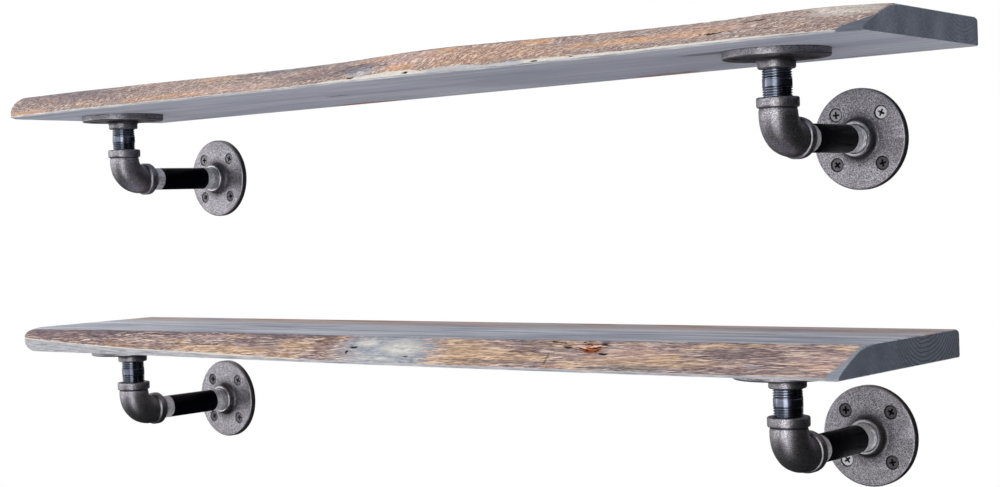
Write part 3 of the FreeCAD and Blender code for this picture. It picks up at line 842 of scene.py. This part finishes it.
def black_pipe():
    """Black lacquer, with the steel bare where the threads were cut."""
    finish = new_finish("black_lacquered_pipe")
    place = finish.place()
    scratch = finish.noise(place, 420.0, 2.0, 0.6)
    steel = finish.ramp(scratch, (0.34, colour(196, 197, 203)), (0.6, colour(244, 244, 247)))
    # painted shade in the grooves of the cut thread
    steel = finish.mix(finish.attribute("groove") * 0.85, steel, colour(56, 58, 66))
    ragged = finish.noise(place, 220.0, 2.0) - 0.5
    scraped = PIPE_SCRAPED / MM
    bare = finish.rise(finish.attribute("bare") + ragged, scraped + 0.3, scraped - 0.3)
    scuff = finish.noise(place, 900.0, 3.0, 0.7)
    black = finish.ramp(scuff, (0.5, colour(2, 3, 10)), (0.85, colour(9, 11, 22)))
    return finish.surface({
        "Base Color": finish.mix(bare, black, steel), "Metallic": bare * 0.55,
        "Roughness": bare * 0.06 + 0.26, "Specular IOR Level": 0.06,
        "Normal": finish.bump(scuff, 0.02 * MM, 0.2)})


def screw_finish():
    """Blackened screws; some heads are worn bright, and their cross recesses are painted dark as shade."""
    finish = new_finish("blackened_screws")
    bright = finish.attribute("bright")
    speck = finish.noise(finish.place(), 1800.0, 2.0)
    dark = finish.ramp(speck, (0.4, colour(64, 62, 66)), (0.7, colour(112, 110, 115)))
    light = finish.ramp(speck, (0.35, colour(196, 196, 200)), (0.7, colour(236, 236, 240)))
    head = finish.mix(bright, dark, light)
    # painted shade in the cross recesses
    return finish.surface({"Base Color": finish.mix(finish.attribute("sunk"), head, colour(12, 12, 14)),
                           "Metallic": 0.8, "Roughness": 0.38})


# what shows through the stain of the planed faces, and the tint of a painted shadow
STAIN = {"brown": colour(188, 156, 136), "deep_brown": colour(158, 114, 94), "knot": colour(92, 82, 86),
         "blue_line": colour(98, 106, 130), "painted_shadow": colour(140, 144, 160)}
# the tints of the bark side
BARK = {"mauve": colour(116, 99, 106), "tan": colour(206, 173, 141), "orange": colour(216, 168, 132),
        "cream": colour(230, 224, 214), "grey": colour(178, 182, 192), "brown": colour(136, 108, 100),
        "hole": colour(26, 22, 24), "rust": colour(168, 90, 42), "slate": colour(104, 108, 124),
        "pink": colour(206, 174, 166), "crack": colour(70, 56, 56)}

# The looks of each plank.  Lengths are in millimetres: x along the wall, y from it and z up,
# and on the bark side the girth, up its face from the plank's foot.  An oval is given by its
# middle and its half sizes, and a figure or a stain by its tint, its strength and its oval.
# Colours of a kind go from dark to light.
PLANKS = {
    "upper": {
        "seed": 3.0,
        "nose": (4, 2, 2),              # the worn corner: its reach, and its radius below and above
        # the planed faces: their stain, and how strong its streaks and blue lines are
        "stain": (colour(152, 156, 173), colour(174, 177, 191), colour(192, 194, 204)),
        "streaks": 0.45, "blue_lines": 0.3,
        "brown_front": -12, "brown_share": 0.30,    # brown shows behind this y
        "figured": (68, 63),            # brown or dark ovals come in between these z
        # the last of the figures is no wood figure but a painted shadow over the right part of the
        # underside
        "figures": (("deep_brown", 0.80, (222, -10, 42, 12)), ("deep_brown", 0.85, (562, -12, 32, 14)),
                    ("knot", 0.90, (590, -22, 10, 2.6)), ("knot", 0.85, (279, -107, 16, 3)),
                    ("knot", 0.75, (690, -145, 30, 8.5)), ("painted_shadow", 0.35, (580, -100, 170, 100))),
        # the sawn ends: the tree's heart (y, z), and between which y its rings fade in
        "end": (colour(74, 82, 98), colour(104, 112, 128), colour(136, 143, 157)),
        "heart": (-30, 125), "ring_lines": 0.35, "ringed": (-95, -40),
        # how far from the right end the bark side is sanded, more so at its foot
        "sanded": (17.0, 0.3), "sanded_tint": (colour(84, 90, 103), colour(112, 118, 131)),
        # the bark side's strands: how they slant, their size, how far they curl, and how far
        # ripples and strands stand out
        "slant": 0.45, "strand_length": 7.5, "strand_width": 1.7, "curl": 12,
        "ripple": 0.45, "strand": 0.26,
        "bark": (colour(104, 86, 86), colour(168, 144, 138), colour(226, 208, 197)),
        "warm": (colour(128, 96, 82), colour(200, 160, 136), colour(236, 214, 192)),
        "warm_share": 0.45, "cold_share": 0.45,     # how much of it is warm or cold in tint
        "stains": (("mauve", 0.45, (0, 26, 120, 14)), ("orange", 0.70, (-35, 4, 36, 4)),
                   ("orange", 0.45, (160, 8, 60, 5)), ("pink", 0.45, (250, 12, 60, 7)),
                   ("orange", 0.75, (480, 26, 18, 4)), ("orange", 0.60, (560, 28, 16, 5)),
                   ("orange", 0.50, (630, 22, 40, 7)), ("mauve", 0.45, (350, 20, 50, 12)),
                   ("orange", 0.70, (440, 10, 18, 7)), ("pink", 0.50, (446, 22, 28, 9)),
                   ("orange", 0.40, (405, 30, 30, 5)), ("grey", 0.70, (398, 11, 14, 6)),
                   ("slate", 0.50, (385, 20, 26, 7)), ("orange", 0.35, (520, 16, 70, 12)),
                   ("slate", 0.55, (300, 38, 80, 6)), ("slate", 0.35, (20, 30, 80, 8)),
                   ("cream", 0.60, (808, 40, 26, 13)), ("orange", 0.50, (690, 24, 60, 8))),
        "worn": (), "rust": (),
        "holes": ((390, 6.5, 3.6, 1.6), (450, 3.5, 3.0, 1.2), (571, 3, 3.0, 1.0), (604, 4, 2.6, 1.0),
                  (719, 19, 11, 1.2), (745, 34, 12, 1.2)),
        "cracks": ((372, 20, 12, 1.0), (385, 26, 14, 0.9), (415, 18, 12, 1.0), (350, 10, 14, 0.8),
                   (460, 28, 12, 0.8), (700, 34, 9, 0.8), (660, 6, 14, 0.8), (765, 15, 9, 1.0),
                   (640, 30, 10, 0.7), (100, 26, 26, 0.6), (220, 30, 30, 0.6)),
        # ovals sunk into the bark side, each with its depth
        "hollows": ((390, 6.5, 4.0, 2.2, 1.6), (719, 19, 12, 1.8, 0.8), (745, 34, 12, 1.8, 0.8)),
        # the pale strip at the bark's foot: its height by x, and between which x it is grey
        "cream": ((-90, 0.8), (355, 0.8), (366, 2.4), (400, 4.0), (428, 6.4), (452, 5.0), (466, 2.2),
                  (480, 4.6), (503, 5.0), (524, 1.8), (546, 3.8), (575, 4.2), (736, 4.0), (762, 2.2),
                  (800, 0.8), (840, 0.8)),
        "grey_cream": (470, 560),
        "brow_line": 0.75,              # how strong the line under its upper edge is
    },
    "lower": {
        "seed": 17.0,
        "nose": (14, 12, 8),
        "stain": (colour(122, 128, 147), colour(171, 173, 185), colour(208, 209, 215)),
        "streaks": 0.60, "blue_lines": 0.7,
        "brown_front": -56, "brown_share": 1.0,
        "figured": (-153, -145),
        "figures": (("deep_brown", 0.85, (215, -17, 66, 7.5)), ("deep_brown", 0.70, (94, -20, 36, 6.5)),
                    ("deep_brown", 0.75, (487, -20, 20, 6)), ("deep_brown", 0.70, (572, -17, 28, 7)),
                    ("deep_brown", 0.50, (330, -42, 110, 4)), ("deep_brown", 0.50, (690, -36, 80, 4))),
        "end": (colour(68, 75, 90), colour(92, 99, 113), colour(117, 123, 135)),
        "heart": (-58, -119), "ring_lines": 0.75, "ringed": (-115, -75),
        "sanded": (7.0, 3.0), "sanded_tint": (colour(128, 134, 146), colour(164, 170, 180)),
        "slant": 0.05, "strand_length": 26, "strand_width": 1.7, "curl": 6,
        "ripple": 0.32, "strand": 0.20,
        "bark": (colour(88, 76, 90), colour(174, 148, 142), colour(240, 216, 200)),
        "warm": (colour(116, 88, 86), colour(212, 173, 140), colour(248, 220, 188)),
        "warm_share": 0.60, "cold_share": 0.42,
        "stains": (("mauve", 0.40, (240, 18, 60, 14)), ("tan", 0.65, (500, 14, 65, 11)),
                   ("tan", 0.60, (650, 14, 50, 10)), ("mauve", 0.80, (-50, 24, 110, 14)),
                   ("mauve", 0.70, (60, 30, 120, 9)), ("brown", 0.50, (60, 10, 120, 5)),
                   ("mauve", 0.70, (250, 30, 90, 5)), ("tan", 0.60, (200, 10, 70, 5)),
                   ("tan", 0.60, (285, 18, 24, 8)), ("brown", 0.60, (322, 22, 12, 12)),
                   ("tan", 0.60, (470, 22, 40, 10)), ("mauve", 0.50, (545, 26, 30, 7)),
                   ("mauve", 0.50, (520, 8, 50, 3)), ("pink", 0.60, (630, 24, 34, 7)),
                   ("slate", 0.60, (640, 6, 50, 3)), ("mauve", 0.60, (722, 28, 38, 8)),
                   ("mauve", 0.45, (735, 8, 60, 4)), ("pink", 0.50, (790, 22, 30, 14))),
        # the bare patch, then the lens-shaped cream places in it
        "worn": ((394, 14, 50, 42), (370, 23.5, 13, 3.6), (410, 19, 26, 8), (385, 7, 24, 2.2)),
        "rust": (592, 28, 12.5, 5.6),
        "holes": ((556, 31.5, 2.6, 0.8), (571, 27.5, 7.0, 1.2), (607, 22, 4.6, 1.2), (357, 19, 5.0, 1.0),
                  (352, 13, 1.6, 2.0), (420, 10, 3.0, 0.7), (583, 32.8, 2.0, 0.7), (602, 31.8, 3.4, 0.6)),
        "cracks": ((30, 19, 26, 0.5), (90, 25, 30, 0.5), (150, 15, 40, 0.6), (235, 20, 20, 0.6),
                   (310, 24, 10, 1.2), (545, 20, 20, 0.6), (560, 12, 1.6, 6.0), (680, 23, 24, 0.6),
                   (760, 16, 30, 0.6)),
        "hollows": ((592, 27, 10.5, 5.0, 3.2), (572, 27, 5.0, 1.8, 1.4), (607, 22, 4.6, 1.8, 1.2),
                    (357, 19, 5.0, 1.6, 1.0)),
        "cream": ((-110, 1.2), (40, 0.8), (180, 1.6), (260, 0.9), (360, 0.8), (600, 0.7), (800, 0.6)),
        "grey_cream": (300, 800),
        "brow_line": 0.6,
    },
}
RING = 3.1 * MM         # from one growth ring to the next


def growth_rings(finish, along, across, up, heart):
    """Distance from the tree's heart in rings, for a board whose heart lies at (y, z)."""
    heart_y, heart_z = in_metres(heart)
    drift = finish.noise(finish.point(along * 1.7, across * 4.0, up * 4.0), 1.0, 2.0) - 0.5
    lean = finish.noise(finish.point(along * 1.1 + 7.0, 0.0, 0.0), 1.0, 1.0) - 0.5
    side = across - heart_y + drift * 0.014
    height = up - heart_z + lean * 0.030
    waves = finish.noise(finish.point(along * 3.0, across * 55.0, up * 55.0), 1.0, 2.0) - 0.5
    return (side * side + height * height) ** 0.5 / RING + drift * 0.8 + waves * 1.6


def late_wood(finish, rings, start, end):
    """1 on the dark line of each ring."""
    return finish.rise(abs(rings.fraction() - 0.5), start, end)


def spot(finish, along, across, oval, rough):
    """1 inside an uneven oval and 0 outside it."""
    middle_along, middle_across, half_length, half_width = in_metres(oval)
    u = (along - middle_along) / half_length
    v = (across - middle_across) / half_width
    return finish.rise((u * u + v * v) ** 0.5 + rough, 1.2, 0.7)


def planed_face(finish, looks, along, across, up):
    """Planed wood under a thin grey stain; brown shows along the rear."""
    rings = growth_rings(finish, along, across, up, looks["heart"])
    late = late_wood(finish, rings, 0.28, 0.46)
    streak = finish.noise(finish.point(along * 6.0, across * 150.0, up * 150.0), 1.0, 5.0, 0.75, 0.4)
    hair = finish.noise(finish.point(along * 14.0, across * 1100.0, up * 1100.0), 1.0, 2.0, 0.6)
    lines = finish.noise(finish.point(along * 3.0 + 5.0, across * 190.0, up * 190.0), 1.0, 3.0, 0.6)
    cloud = finish.noise(finish.point(along * 5.0, across * 26.0, up * 26.0), 1.0, 3.0, 0.5)
    dark, mid, light = looks["stain"]
    grain = streak * looks["streaks"] + hair * 0.28 + cloud * (0.72 - looks["streaks"])
    tone = finish.ramp(grain, (0.42, dark), (0.49, mid), (0.56, light))
    tone = finish.mix(finish.rise(lines, 0.56, 0.66) * looks["blue_lines"], tone, STAIN["blue_line"])
    edge = across + (cloud - 0.5) * 0.016
    band = finish.rise(edge, *in_metres((looks["brown_front"] - 6, looks["brown_front"] + 4)))
    share = band * looks["brown_share"] * (finish.rise(streak, 0.45, 0.54) * 0.75 + late * 0.10 + 0.08)
    tone = finish.mix(share, tone, STAIN["brown"])
    tone = finish.mix(late * 0.14, tone, dark)
    on_figured_side = finish.rise(up, *in_metres(looks["figured"]))
    for tint, strength, oval in looks["figures"]:
        inside = spot(finish, along, across, oval, (streak - 0.5) * 0.6)
        tone = finish.mix(inside * on_figured_side * strength, tone, STAIN[tint])
    return tone, finish.bump(hair * 0.5 + streak, 0.12 * MM, 0.3)


def strands(finish, looks, along, girth):
    """Fine curling strands, 0 in the grooves and 1 on the ridges: level lines of a drawn-out noise."""
    length, width, curl = in_metres((looks["strand_length"], looks["strand_width"], looks["curl"]))
    bend = finish.noise(finish.point(along * 30.0, girth * 90.0, looks["seed"]), 1.0, 2.0) - 0.5
    slant = looks["slant"]
    with_grain = along * math.cos(slant) + girth * math.sin(slant)
    over_grain = girth * math.cos(slant) - along * math.sin(slant) + bend * curl
    coarse = finish.noise(finish.point(with_grain / length, over_grain / width), 1.0, 3.0, 0.6, 0.3)
    ridge = abs((coarse * 5.0).fraction() - 0.5) * 2
    fine = finish.noise(finish.point(with_grain / length * 2.6, over_grain / width * 3, 4.0), 1.0, 4.0, 0.7)
    return coarse * 0.80 + fine * 1.45 + ridge * 0.18 - 0.80


class BarkSide:
    """The live edge of a plank, where the bark has come off: each step paints over the tone so far."""

    STOPS = (0.26, 0.42, 0.58)      # of the strands: in a groove, between and on a ridge

    def __init__(self, finish, looks, along, girth):
        self.finish = finish
        self.looks = looks
        self.along = along
        self.girth = girth
        self.fibre = strands(finish, looks, along, girth)
        self.broad = finish.noise(finish.point(along * 17.0, girth * 70.0, 3.0), 1.0, 3.0, 0.6)
        self.small = finish.noise(finish.point(along * 24.0, girth * 95.0, 11.0), 1.0, 4.0, 0.6)
        self.tone = self.strand_tone(looks["bark"])

    def strand_tone(self, tints, stops=STOPS):
        """Colours laid over the strands, from the grooves to the ridges."""
        return self.finish.ramp(self.fibre, *zip(stops, tints))

    def paint(self, share, tint):
        """Lay a tint over the tone so far, as strongly as its share says."""
        self.tone = self.finish.mix(share, self.tone, tint)

    def oval(self, oval, by_fibre, by_patch=0.0):
        """1 inside an oval whose edge follows the strands and a patchy noise."""
        rough = (self.fibre - 0.4) * by_fibre
        return spot(self.finish, self.along, self.girth, oval, by_patch + rough)

    def patches(self):
        """Warm and cold places all over."""
        rise = self.finish.rise
        warm, cold = self.looks["warm_share"], self.looks["cold_share"]
        self.paint(rise(self.broad, 0.68 - warm * 0.3, 0.72 - warm * 0.2) * 0.8,
                   self.strand_tone(self.looks["warm"]))
        self.paint(rise(self.small, 0.70 - cold * 0.2, 0.74 - cold * 0.1) * 0.7,
                   self.strand_tone((BARK["mauve"], BARK["grey"]), (self.STOPS[0], self.STOPS[2])))

    def stains(self):
        """Patches of single tints, dark in the grooves and light on the ridges."""
        for tint, strength, oval in self.looks["stains"]:
            inside = self.oval(oval, 1.2, (self.small - 0.5) * 1.6)
            tints = (shade(BARK[tint], 0.50), BARK[tint], shade(BARK[tint], 1.45))
            self.paint(inside * strength, self.strand_tone(tints))

    def worn(self):
        """The bare patch, its cream lenses, and slate lines that follow their outlines."""
        rise = self.finish.rise
        grey = ((0.24, 0.50), (colour(122, 126, 140), colour(194, 196, 203)))
        cream = ((0.24, 0.48), (colour(164, 165, 170), colour(232, 229, 220)))
        for i, oval in enumerate(self.looks["worn"]):
            inside = self.oval(oval, 1.4, (self.broad - 0.5) * 1.2)
            lines = abs((inside * 5.0).fraction() - 0.5)
            stops, tints = grey if i == 0 else cream
            self.paint(inside, self.strand_tone(tints, stops))
            near_edge = rise(inside, 0.0, 0.1) * rise(inside, 1.0, 0.9)
            self.paint(rise(lines, 0.16, 0.04) * near_edge * 0.55, BARK["slate"])

    def rust(self):
        """The open knot, rusty round its holes."""
        if self.looks["rust"]:
            tints = (BARK["hole"], BARK["rust"], shade(BARK["rust"], 1.7))
            self.paint(self.oval(self.looks["rust"], 2.4), self.strand_tone(tints, (0.34, 0.42, 0.60)))

    def foot(self, above_sawn):
        """The pale strip along the foot, as high as the table of the plank says."""
        finish = self.finish
        rows = self.looks["cream"]
        low, high = rows[0][0], rows[-1][0]
        scale = 10      # millimetres; a ramp can only hold values up to 1
        stops = [((x - low) / (high - low), (height / scale,) * 3 + (1.0,)) for x, height in rows]
        width = finish.ramp((self.along / MM - low) / (high - low), *stops) * scale
        ragged = finish.noise(finish.point(self.along * 60.0, self.girth * 90.0, 5.0), 1.0, 3.0)
        strip = finish.rise(above_sawn - width - (ragged - 0.5) * 2.2, 0.35, -0.25)
        start, end = in_metres(self.looks["grey_cream"])
        fade = 4 * MM
        greyness = (finish.rise(self.along, start - fade, start + fade)
                    * finish.rise(self.along, end + fade, end - fade))
        pale = finish.mix(greyness * 0.7, BARK["cream"], BARK["grey"])
        dull = finish.rise(self.fibre, 0.50, 0.30) * 0.35
        self.paint(strip, finish.mix(dull, pale, colour(168, 164, 162)))

    def holes_and_cracks(self):
        """Black holes, and cracks that break up along the strands."""
        for oval in self.looks["holes"]:
            self.paint(self.oval(oval, 2.0), BARK["hole"])
        for oval in self.looks["cracks"]:
            self.paint(self.oval(oval, 3.0, (self.broad - 0.5) * 3.0) * 0.75, BARK["crack"])

    def brow_line(self, from_brow):
        """A broken slate line just under the upper edge."""
        uneven = self.finish.noise(self.finish.point(self.along * 28.0, 3.0), 1.0, 3.0)
        line = self.finish.rise(from_brow, 1.6, 0.5) * self.finish.rise(uneven, 0.40, 0.56)
        self.paint(line * self.looks["brow_line"], BARK["slate"])


def wood_sides(shelf):
    """Stained planed faces, the sawn strip and the bark side of a plank."""
    looks = PLANKS[shelf]
    finish = new_finish(f"{shelf}_weathered_wood")
    along, across, up = finish.parts(finish.place())
    girth = finish.attribute("girth")
    above_sawn = (girth - finish.attribute("sawn_top")) / MM
    from_brow = (finish.attribute("brow") - girth) / MM
    planed, grooves = planed_face(finish, looks, along, across, up)
    bark = BarkSide(finish, looks, along, girth)
    bark.patches()
    bark.stains()
    bark.worn()
    bark.rust()
    bark.foot(above_sawn)
    bark.holes_and_cracks()
    bark.brow_line(from_brow)

    saw = finish.noise(finish.point(along * 45.0, girth * 700.0, 2.0), 1.0, 5.0, 0.75)
    sawn = finish.ramp(saw, (0.38, colour(136, 139, 147)), (0.5, colour(174, 174, 180)),
                       (0.64, colour(204, 202, 203)))
    sanded = finish.ramp(saw, *zip((0.36, 0.64), looks["sanded_tint"]))

    wander = (finish.noise(finish.point(along * 45.0, girth * 45.0, 9.0), 1.0, 4.0, 0.6) - 0.5) * 2.0
    on_front = finish.rise(girth / MM, -0.15, 0.15) * finish.rise(from_brow + wander, -0.3, 0.3)
    front = finish.mix(finish.rise(above_sawn, -0.3, 0.2), sawn, bark.tone)
    near_end = finish.attribute("end_gap") / MM + (saw - 0.5) * 5.0 + wander
    at_foot, at_brow = looks["sanded"]
    sanded_to = finish.rise(above_sawn, 30.0, 0.0) * at_foot + at_brow
    front = finish.mix(finish.rise(near_end - sanded_to, 1.5, -1.0), front, sanded)
    side = finish.mix(on_front, planed, front)
    relief = finish.bump(bark.fibre, 0.7 * MM, on_front * 0.7, grooves)
    return finish.surface({"Base Color": side, "Roughness": on_front * 0.2 + 0.62, "Normal": relief,
                           "Specular IOR Level": 0.3})


def wood_ends(shelf):
    """End grain, which drinks the stain and goes slate dark."""
    looks = PLANKS[shelf]
    finish = new_finish(f"{shelf}_end_grain")
    place = finish.place()
    along, across, up = finish.parts(place)
    rings = growth_rings(finish, along, across, up, looks["heart"])
    late = late_wood(finish, rings, 0.30, 0.46) * finish.rise(across, *in_metres(looks["ringed"]))
    pores = finish.noise(place, 1500.0, 2.0, 0.7)
    saw = finish.noise(finish.point(along * 40.0, across * 520.0, up * 40.0), 1.0, 3.0)
    cloud = finish.noise(place, 45.0, 3.0)
    dark, mid, light = looks["end"]
    tone = finish.ramp(cloud * 0.25 + pores * 0.75, (0.36, dark), (0.5, mid), (0.66, light))
    tone = finish.mix(late * looks["ring_lines"], tone, shade(dark, 0.5))
    tone = finish.mix(finish.rise(saw, 0.54, 0.70) * 0.22 * finish.rise(across, -0.07, -0.02), tone, light)
    from_brow = (finish.attribute("brow") - finish.attribute("girth")) / MM
    worn = finish.rise(from_brow + (cloud - 0.5) * 14.0, 7.0, 1.0) * finish.rise(from_brow, -9.0, -4.0)
    tone = finish.mix(worn * 0.6, tone, colour(172, 176, 184))
    return finish.surface({"Base Color": tone, "Roughness": 0.72, "Specular IOR Level": 0.3,
                           "Normal": finish.bump(pores + late * 0.5, 0.12 * MM, 0.4)})


# ------------------------------------------------------------------- putting it up
plate_iron = flange_iron()
bend_iron = elbow_iron()
nipple_steel = bright_nipple()
pipe_black = black_pipe()
screw_black = screw_finish()
# how bright the four screw heads in each wall flange are: top left, top right, bottom left
# and bottom right
BRIGHT_HEADS = {"upper_left": (0.15, 0.1, 0.05, 0.0), "upper_right": (0.4, 1.0, 0.05, 0.0),
                "lower_left": (0.0, 0.1, 0.0, 0.05), "lower_right": (0.0, 0.0, 0.9, 0.0)}
SHELF_HEADS = (0.1, 0.1, 0.1, 0.1)
FIRST_CROSS = 1.6               # how far the first screw's cross is turned, in radians
NEXT_CROSS = 1.1                # and each next one more


def screw_places(node, face):
    """Where the four screws of a group stand, with their heads in the flange's face.

    The upper or rear two come first, and the left one of each two.
    """
    low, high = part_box(node)
    inset = Vector((HEAD_RADIUS, HEAD_RADIUS, HEAD_RADIUS))
    near, far = low + inset, high - inset
    places = []
    for row in (far, near):
        for x in (near.x, far.x):
            if face == "wall":
                place = Matrix.Translation((x, low.y, row.z)) @ Matrix.Rotation(math.pi / 2, 4, "X")
            else:
                place = Matrix.Translation((x, row.y, low.z)) @ Matrix.Rotation(math.pi, 4, "X")
            turned = FIRST_CROSS + NEXT_CROSS * len(places)
            places.append(place @ Matrix.Rotation(turned, 4, "Z"))
    return places


def put_up_bracket(name, wall_screw, shelf_screw):
    """All the ironwork of one bracket, from its wall flange out to the screws in its plank."""
    for node, axis in ((f"{name}_wall_flange", 1), (f"{name}_shelf_flange", 2)):
        keep(flange(node, axis), f"{node}_casting", [plate_iron], node, 30)

    node = f"{name}_wall_pipe"
    low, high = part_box(node)
    middle = centre_of(node)
    pipe = nipple(high.y - low.y)
    stand_out = Matrix.Translation((middle.x, high.y, middle.z)) @ Matrix.Rotation(math.pi / 2, 4, "X")
    bmesh.ops.transform(pipe, verts=pipe.verts, matrix=stand_out)
    keep(pipe, f"{node}_threaded", [pipe_black], node, 30)

    node = f"{name}_riser"
    low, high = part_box(node)
    middle = centre_of(node)
    riser = nipple(high.z - low.z)
    bmesh.ops.translate(riser, verts=riser.verts, vec=(middle.x, middle.y, low.z))
    keep(riser, f"{node}_threaded", [nipple_steel], node, 30)

    node = f"{name}_elbow"
    low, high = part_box(node)
    crossing = Vector((centre_of(node).x, low.y + BAND_RADIUS, low.z + BAND_RADIUS))
    bend = elbow(high.z - crossing.z)
    bmesh.ops.translate(bend, verts=bend.verts, vec=crossing)
    keep(bend, f"{node}_casting", [bend_iron], node, 50)

    for face, data, bright in (("wall", wall_screw, BRIGHT_HEADS[name]),
                               ("shelf", shelf_screw, SHELF_HEADS)):
        node = f"{name}_{face}_screws"
        screws = screw_set(data, screw_places(node, face), bright)
        keep(screws, f"{node}_cross_head", [screw_black], node, 35)


wall_low, wall_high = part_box("upper_left_wall_screws")
shelf_low, shelf_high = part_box("upper_left_shelf_screws")
wall_screw_data = sunk_screw(wall_high.y - wall_low.y)
shelf_screw_data = sunk_screw(shelf_high.z - shelf_low.z)
for bracket in BRACKETS:
    put_up_bracket(bracket, wall_screw_data, shelf_screw_data)
for shelf in SHELVES:
    keep(plank(shelf), f"{shelf}_plank_board", [wood_sides(shelf), wood_ends(shelf)],
         f"{shelf}_plank", 32)


# ------------------------------------------------------------------------- studio
MIDDLE = 0.36                   # of the shelves, along the wall
FLOOR_LEVEL = -1.25
FLOOR_HALF_WIDTH = 3.2
WALL_GAP = 0.2 * MM             # between the wall and the flanges' backs
WALL_HALF_WIDTH = 8.0           # wide enough to hide the screws' shanks from either side too
# where the surround's two glows come from, and the way to the wall
SOFT_LIGHT = (-0.97, -0.20, 0.10)
MIRRORED_LIGHT = (-0.78, -0.62, 0.22)
WALLWARDS = (0.6, 0.8, 0.0)
WHITE = colour(255, 255, 255)


def studio_world():
    """A soft surround, bright from the left and the front, dim from the right and the wall.

    Matt faces are lit by one glow and polished ones mirror another; the camera sees white.
    """
    world = bpy.data.worlds.new("studio")
    bpy.context.scene.world = world
    finish = Finish(world)
    view = finish.parts(finish.node("ShaderNodeTexCoord", output="Generated"))

    def towards(direction):
        x, y, z = (part * share for part, share in zip(view, direction))
        return x + y + z

    soft = towards(SOFT_LIGHT) * 0.60 + 0.93
    from_below = finish.rise(view[2], -0.52, 0.18) * 0.95 + 0.05
    from_wall = finish.rise(towards(WALLWARDS), 0.6, -0.1) * 0.9 + 0.1
    mirrored = finish.rise(towards(MIRRORED_LIGHT), -0.45, 1.0) * from_below * from_wall * 1.33 + 0.01
    seen = finish.node("ShaderNodeLightPath", output="Is Camera Ray")
    gloss = seen.output("Is Glossy Ray") + seen.output("Is Transmission Ray")
    level = soft * (1 - gloss) + mirrored * gloss
    level = level * (1 - seen) + seen
    shader = finish.node("ShaderNodeBackground", inputs={"Color": WHITE, "Strength": level})
    finish.node("ShaderNodeOutputWorld", inputs={"Surface": shader})


def softbox(name, place, aim, size, energy, only_mirrored=False):
    """A rectangular lamp turned to what it is aimed at."""
    lamp = bpy.data.lights.new(name, "AREA")
    lamp.shape = "RECTANGLE"
    lamp.size, lamp.size_y = size
    lamp.energy = energy
    box = bpy.data.objects.new(name, lamp)
    box.location = place
    box.rotation_euler = (Vector(aim) - Vector(place)).to_track_quat("-Z", "Y").to_euler()
    box.visible_diffuse = not only_mirrored
    bpy.context.scene.collection.objects.link(box)


def backdrop(name, half_width, place, finish, hidden_from):
    """A square sheet round the object, clear from behind and hidden from some kinds of ray."""
    mesh = bmesh.new()
    bmesh.ops.create_grid(mesh, x_segments=1, y_segments=1, size=half_width, matrix=place)
    sheet = new_object(name, mesh, [finish])
    for ray in hidden_from:
        setattr(sheet, f"visible_{ray}", False)


def floor():
    """A plain pale floor, well below the shelves and clear when seen from below."""
    pale = new_finish("pale_floor").surface(
        {"Base Color": colour(236, 236, 236), "Roughness": 0.9}, one_sided=True)
    level = Matrix.Translation((MIDDLE, 0.0, FLOOR_LEVEL))
    backdrop("floor", FLOOR_HALF_WIDTH, level, pale, ("glossy",))


def wall():
    """The white wall that the flanges stand on, seen only from the room and only by the camera."""
    finish = new_finish("white_wall")
    white = finish.node("ShaderNodeEmission", inputs={"Color": WHITE, "Strength": 1.0})
    upright = Matrix.Translation((MIDDLE, WALL_GAP, 0.0)) @ Matrix.Rotation(math.pi / 2, 4, "X")
    backdrop("wall", WALL_HALF_WIDTH, upright, finish.finish_with(white, one_sided=True),
             ("diffuse", "glossy", "transmission", "shadow"))


CAMERA_SENSOR = 36.0            # in millimetres, as the lens
CAMERA_LENS = 63.2
CAMERA_PLACE = (1.366, -1.200, -0.045)
CAMERA_YAW = -0.694
CAMERA_PITCH = -0.018
CAMERA_ROLL = -0.037


def camera():
    """A longish lens, right of the shelves and between them in height."""
    data = bpy.data.cameras.new("camera")
    data.sensor_width = CAMERA_SENSOR
    data.lens = CAMERA_LENS
    eye = bpy.data.objects.new("camera", data)
    level = math.cos(CAMERA_PITCH)
    forward = Vector((math.sin(CAMERA_YAW) * level, math.cos(CAMERA_YAW) * level, math.sin(CAMERA_PITCH)))
    eye.location = CAMERA_PLACE
    roll = Quaternion((0, 0, 1), CAMERA_ROLL)
    eye.rotation_euler = (forward.to_track_quat("-Z", "Y") @ roll).to_euler()
    bpy.context.scene.collection.objects.link(eye)
    bpy.context.scene.camera = eye


studio_world()
softbox("key", (-0.9, -2.1, 1.3), (0.36, -0.1, 0.0), (1.1, 1.1), 12.0)
softbox("left_strip", (-1.3, -1.0, -0.2), (0.36, -0.1, 0.0), (0.35, 1.6), 3.0)
softbox("front_strip", (1.03, -1.69, 0.0), (0.5, -0.1, 0.0), (0.85, 4.0), 27.0, only_mirrored=True)
floor()
wall()
camera()
bpy.context.scene.view_settings.view_transform = "Standard"
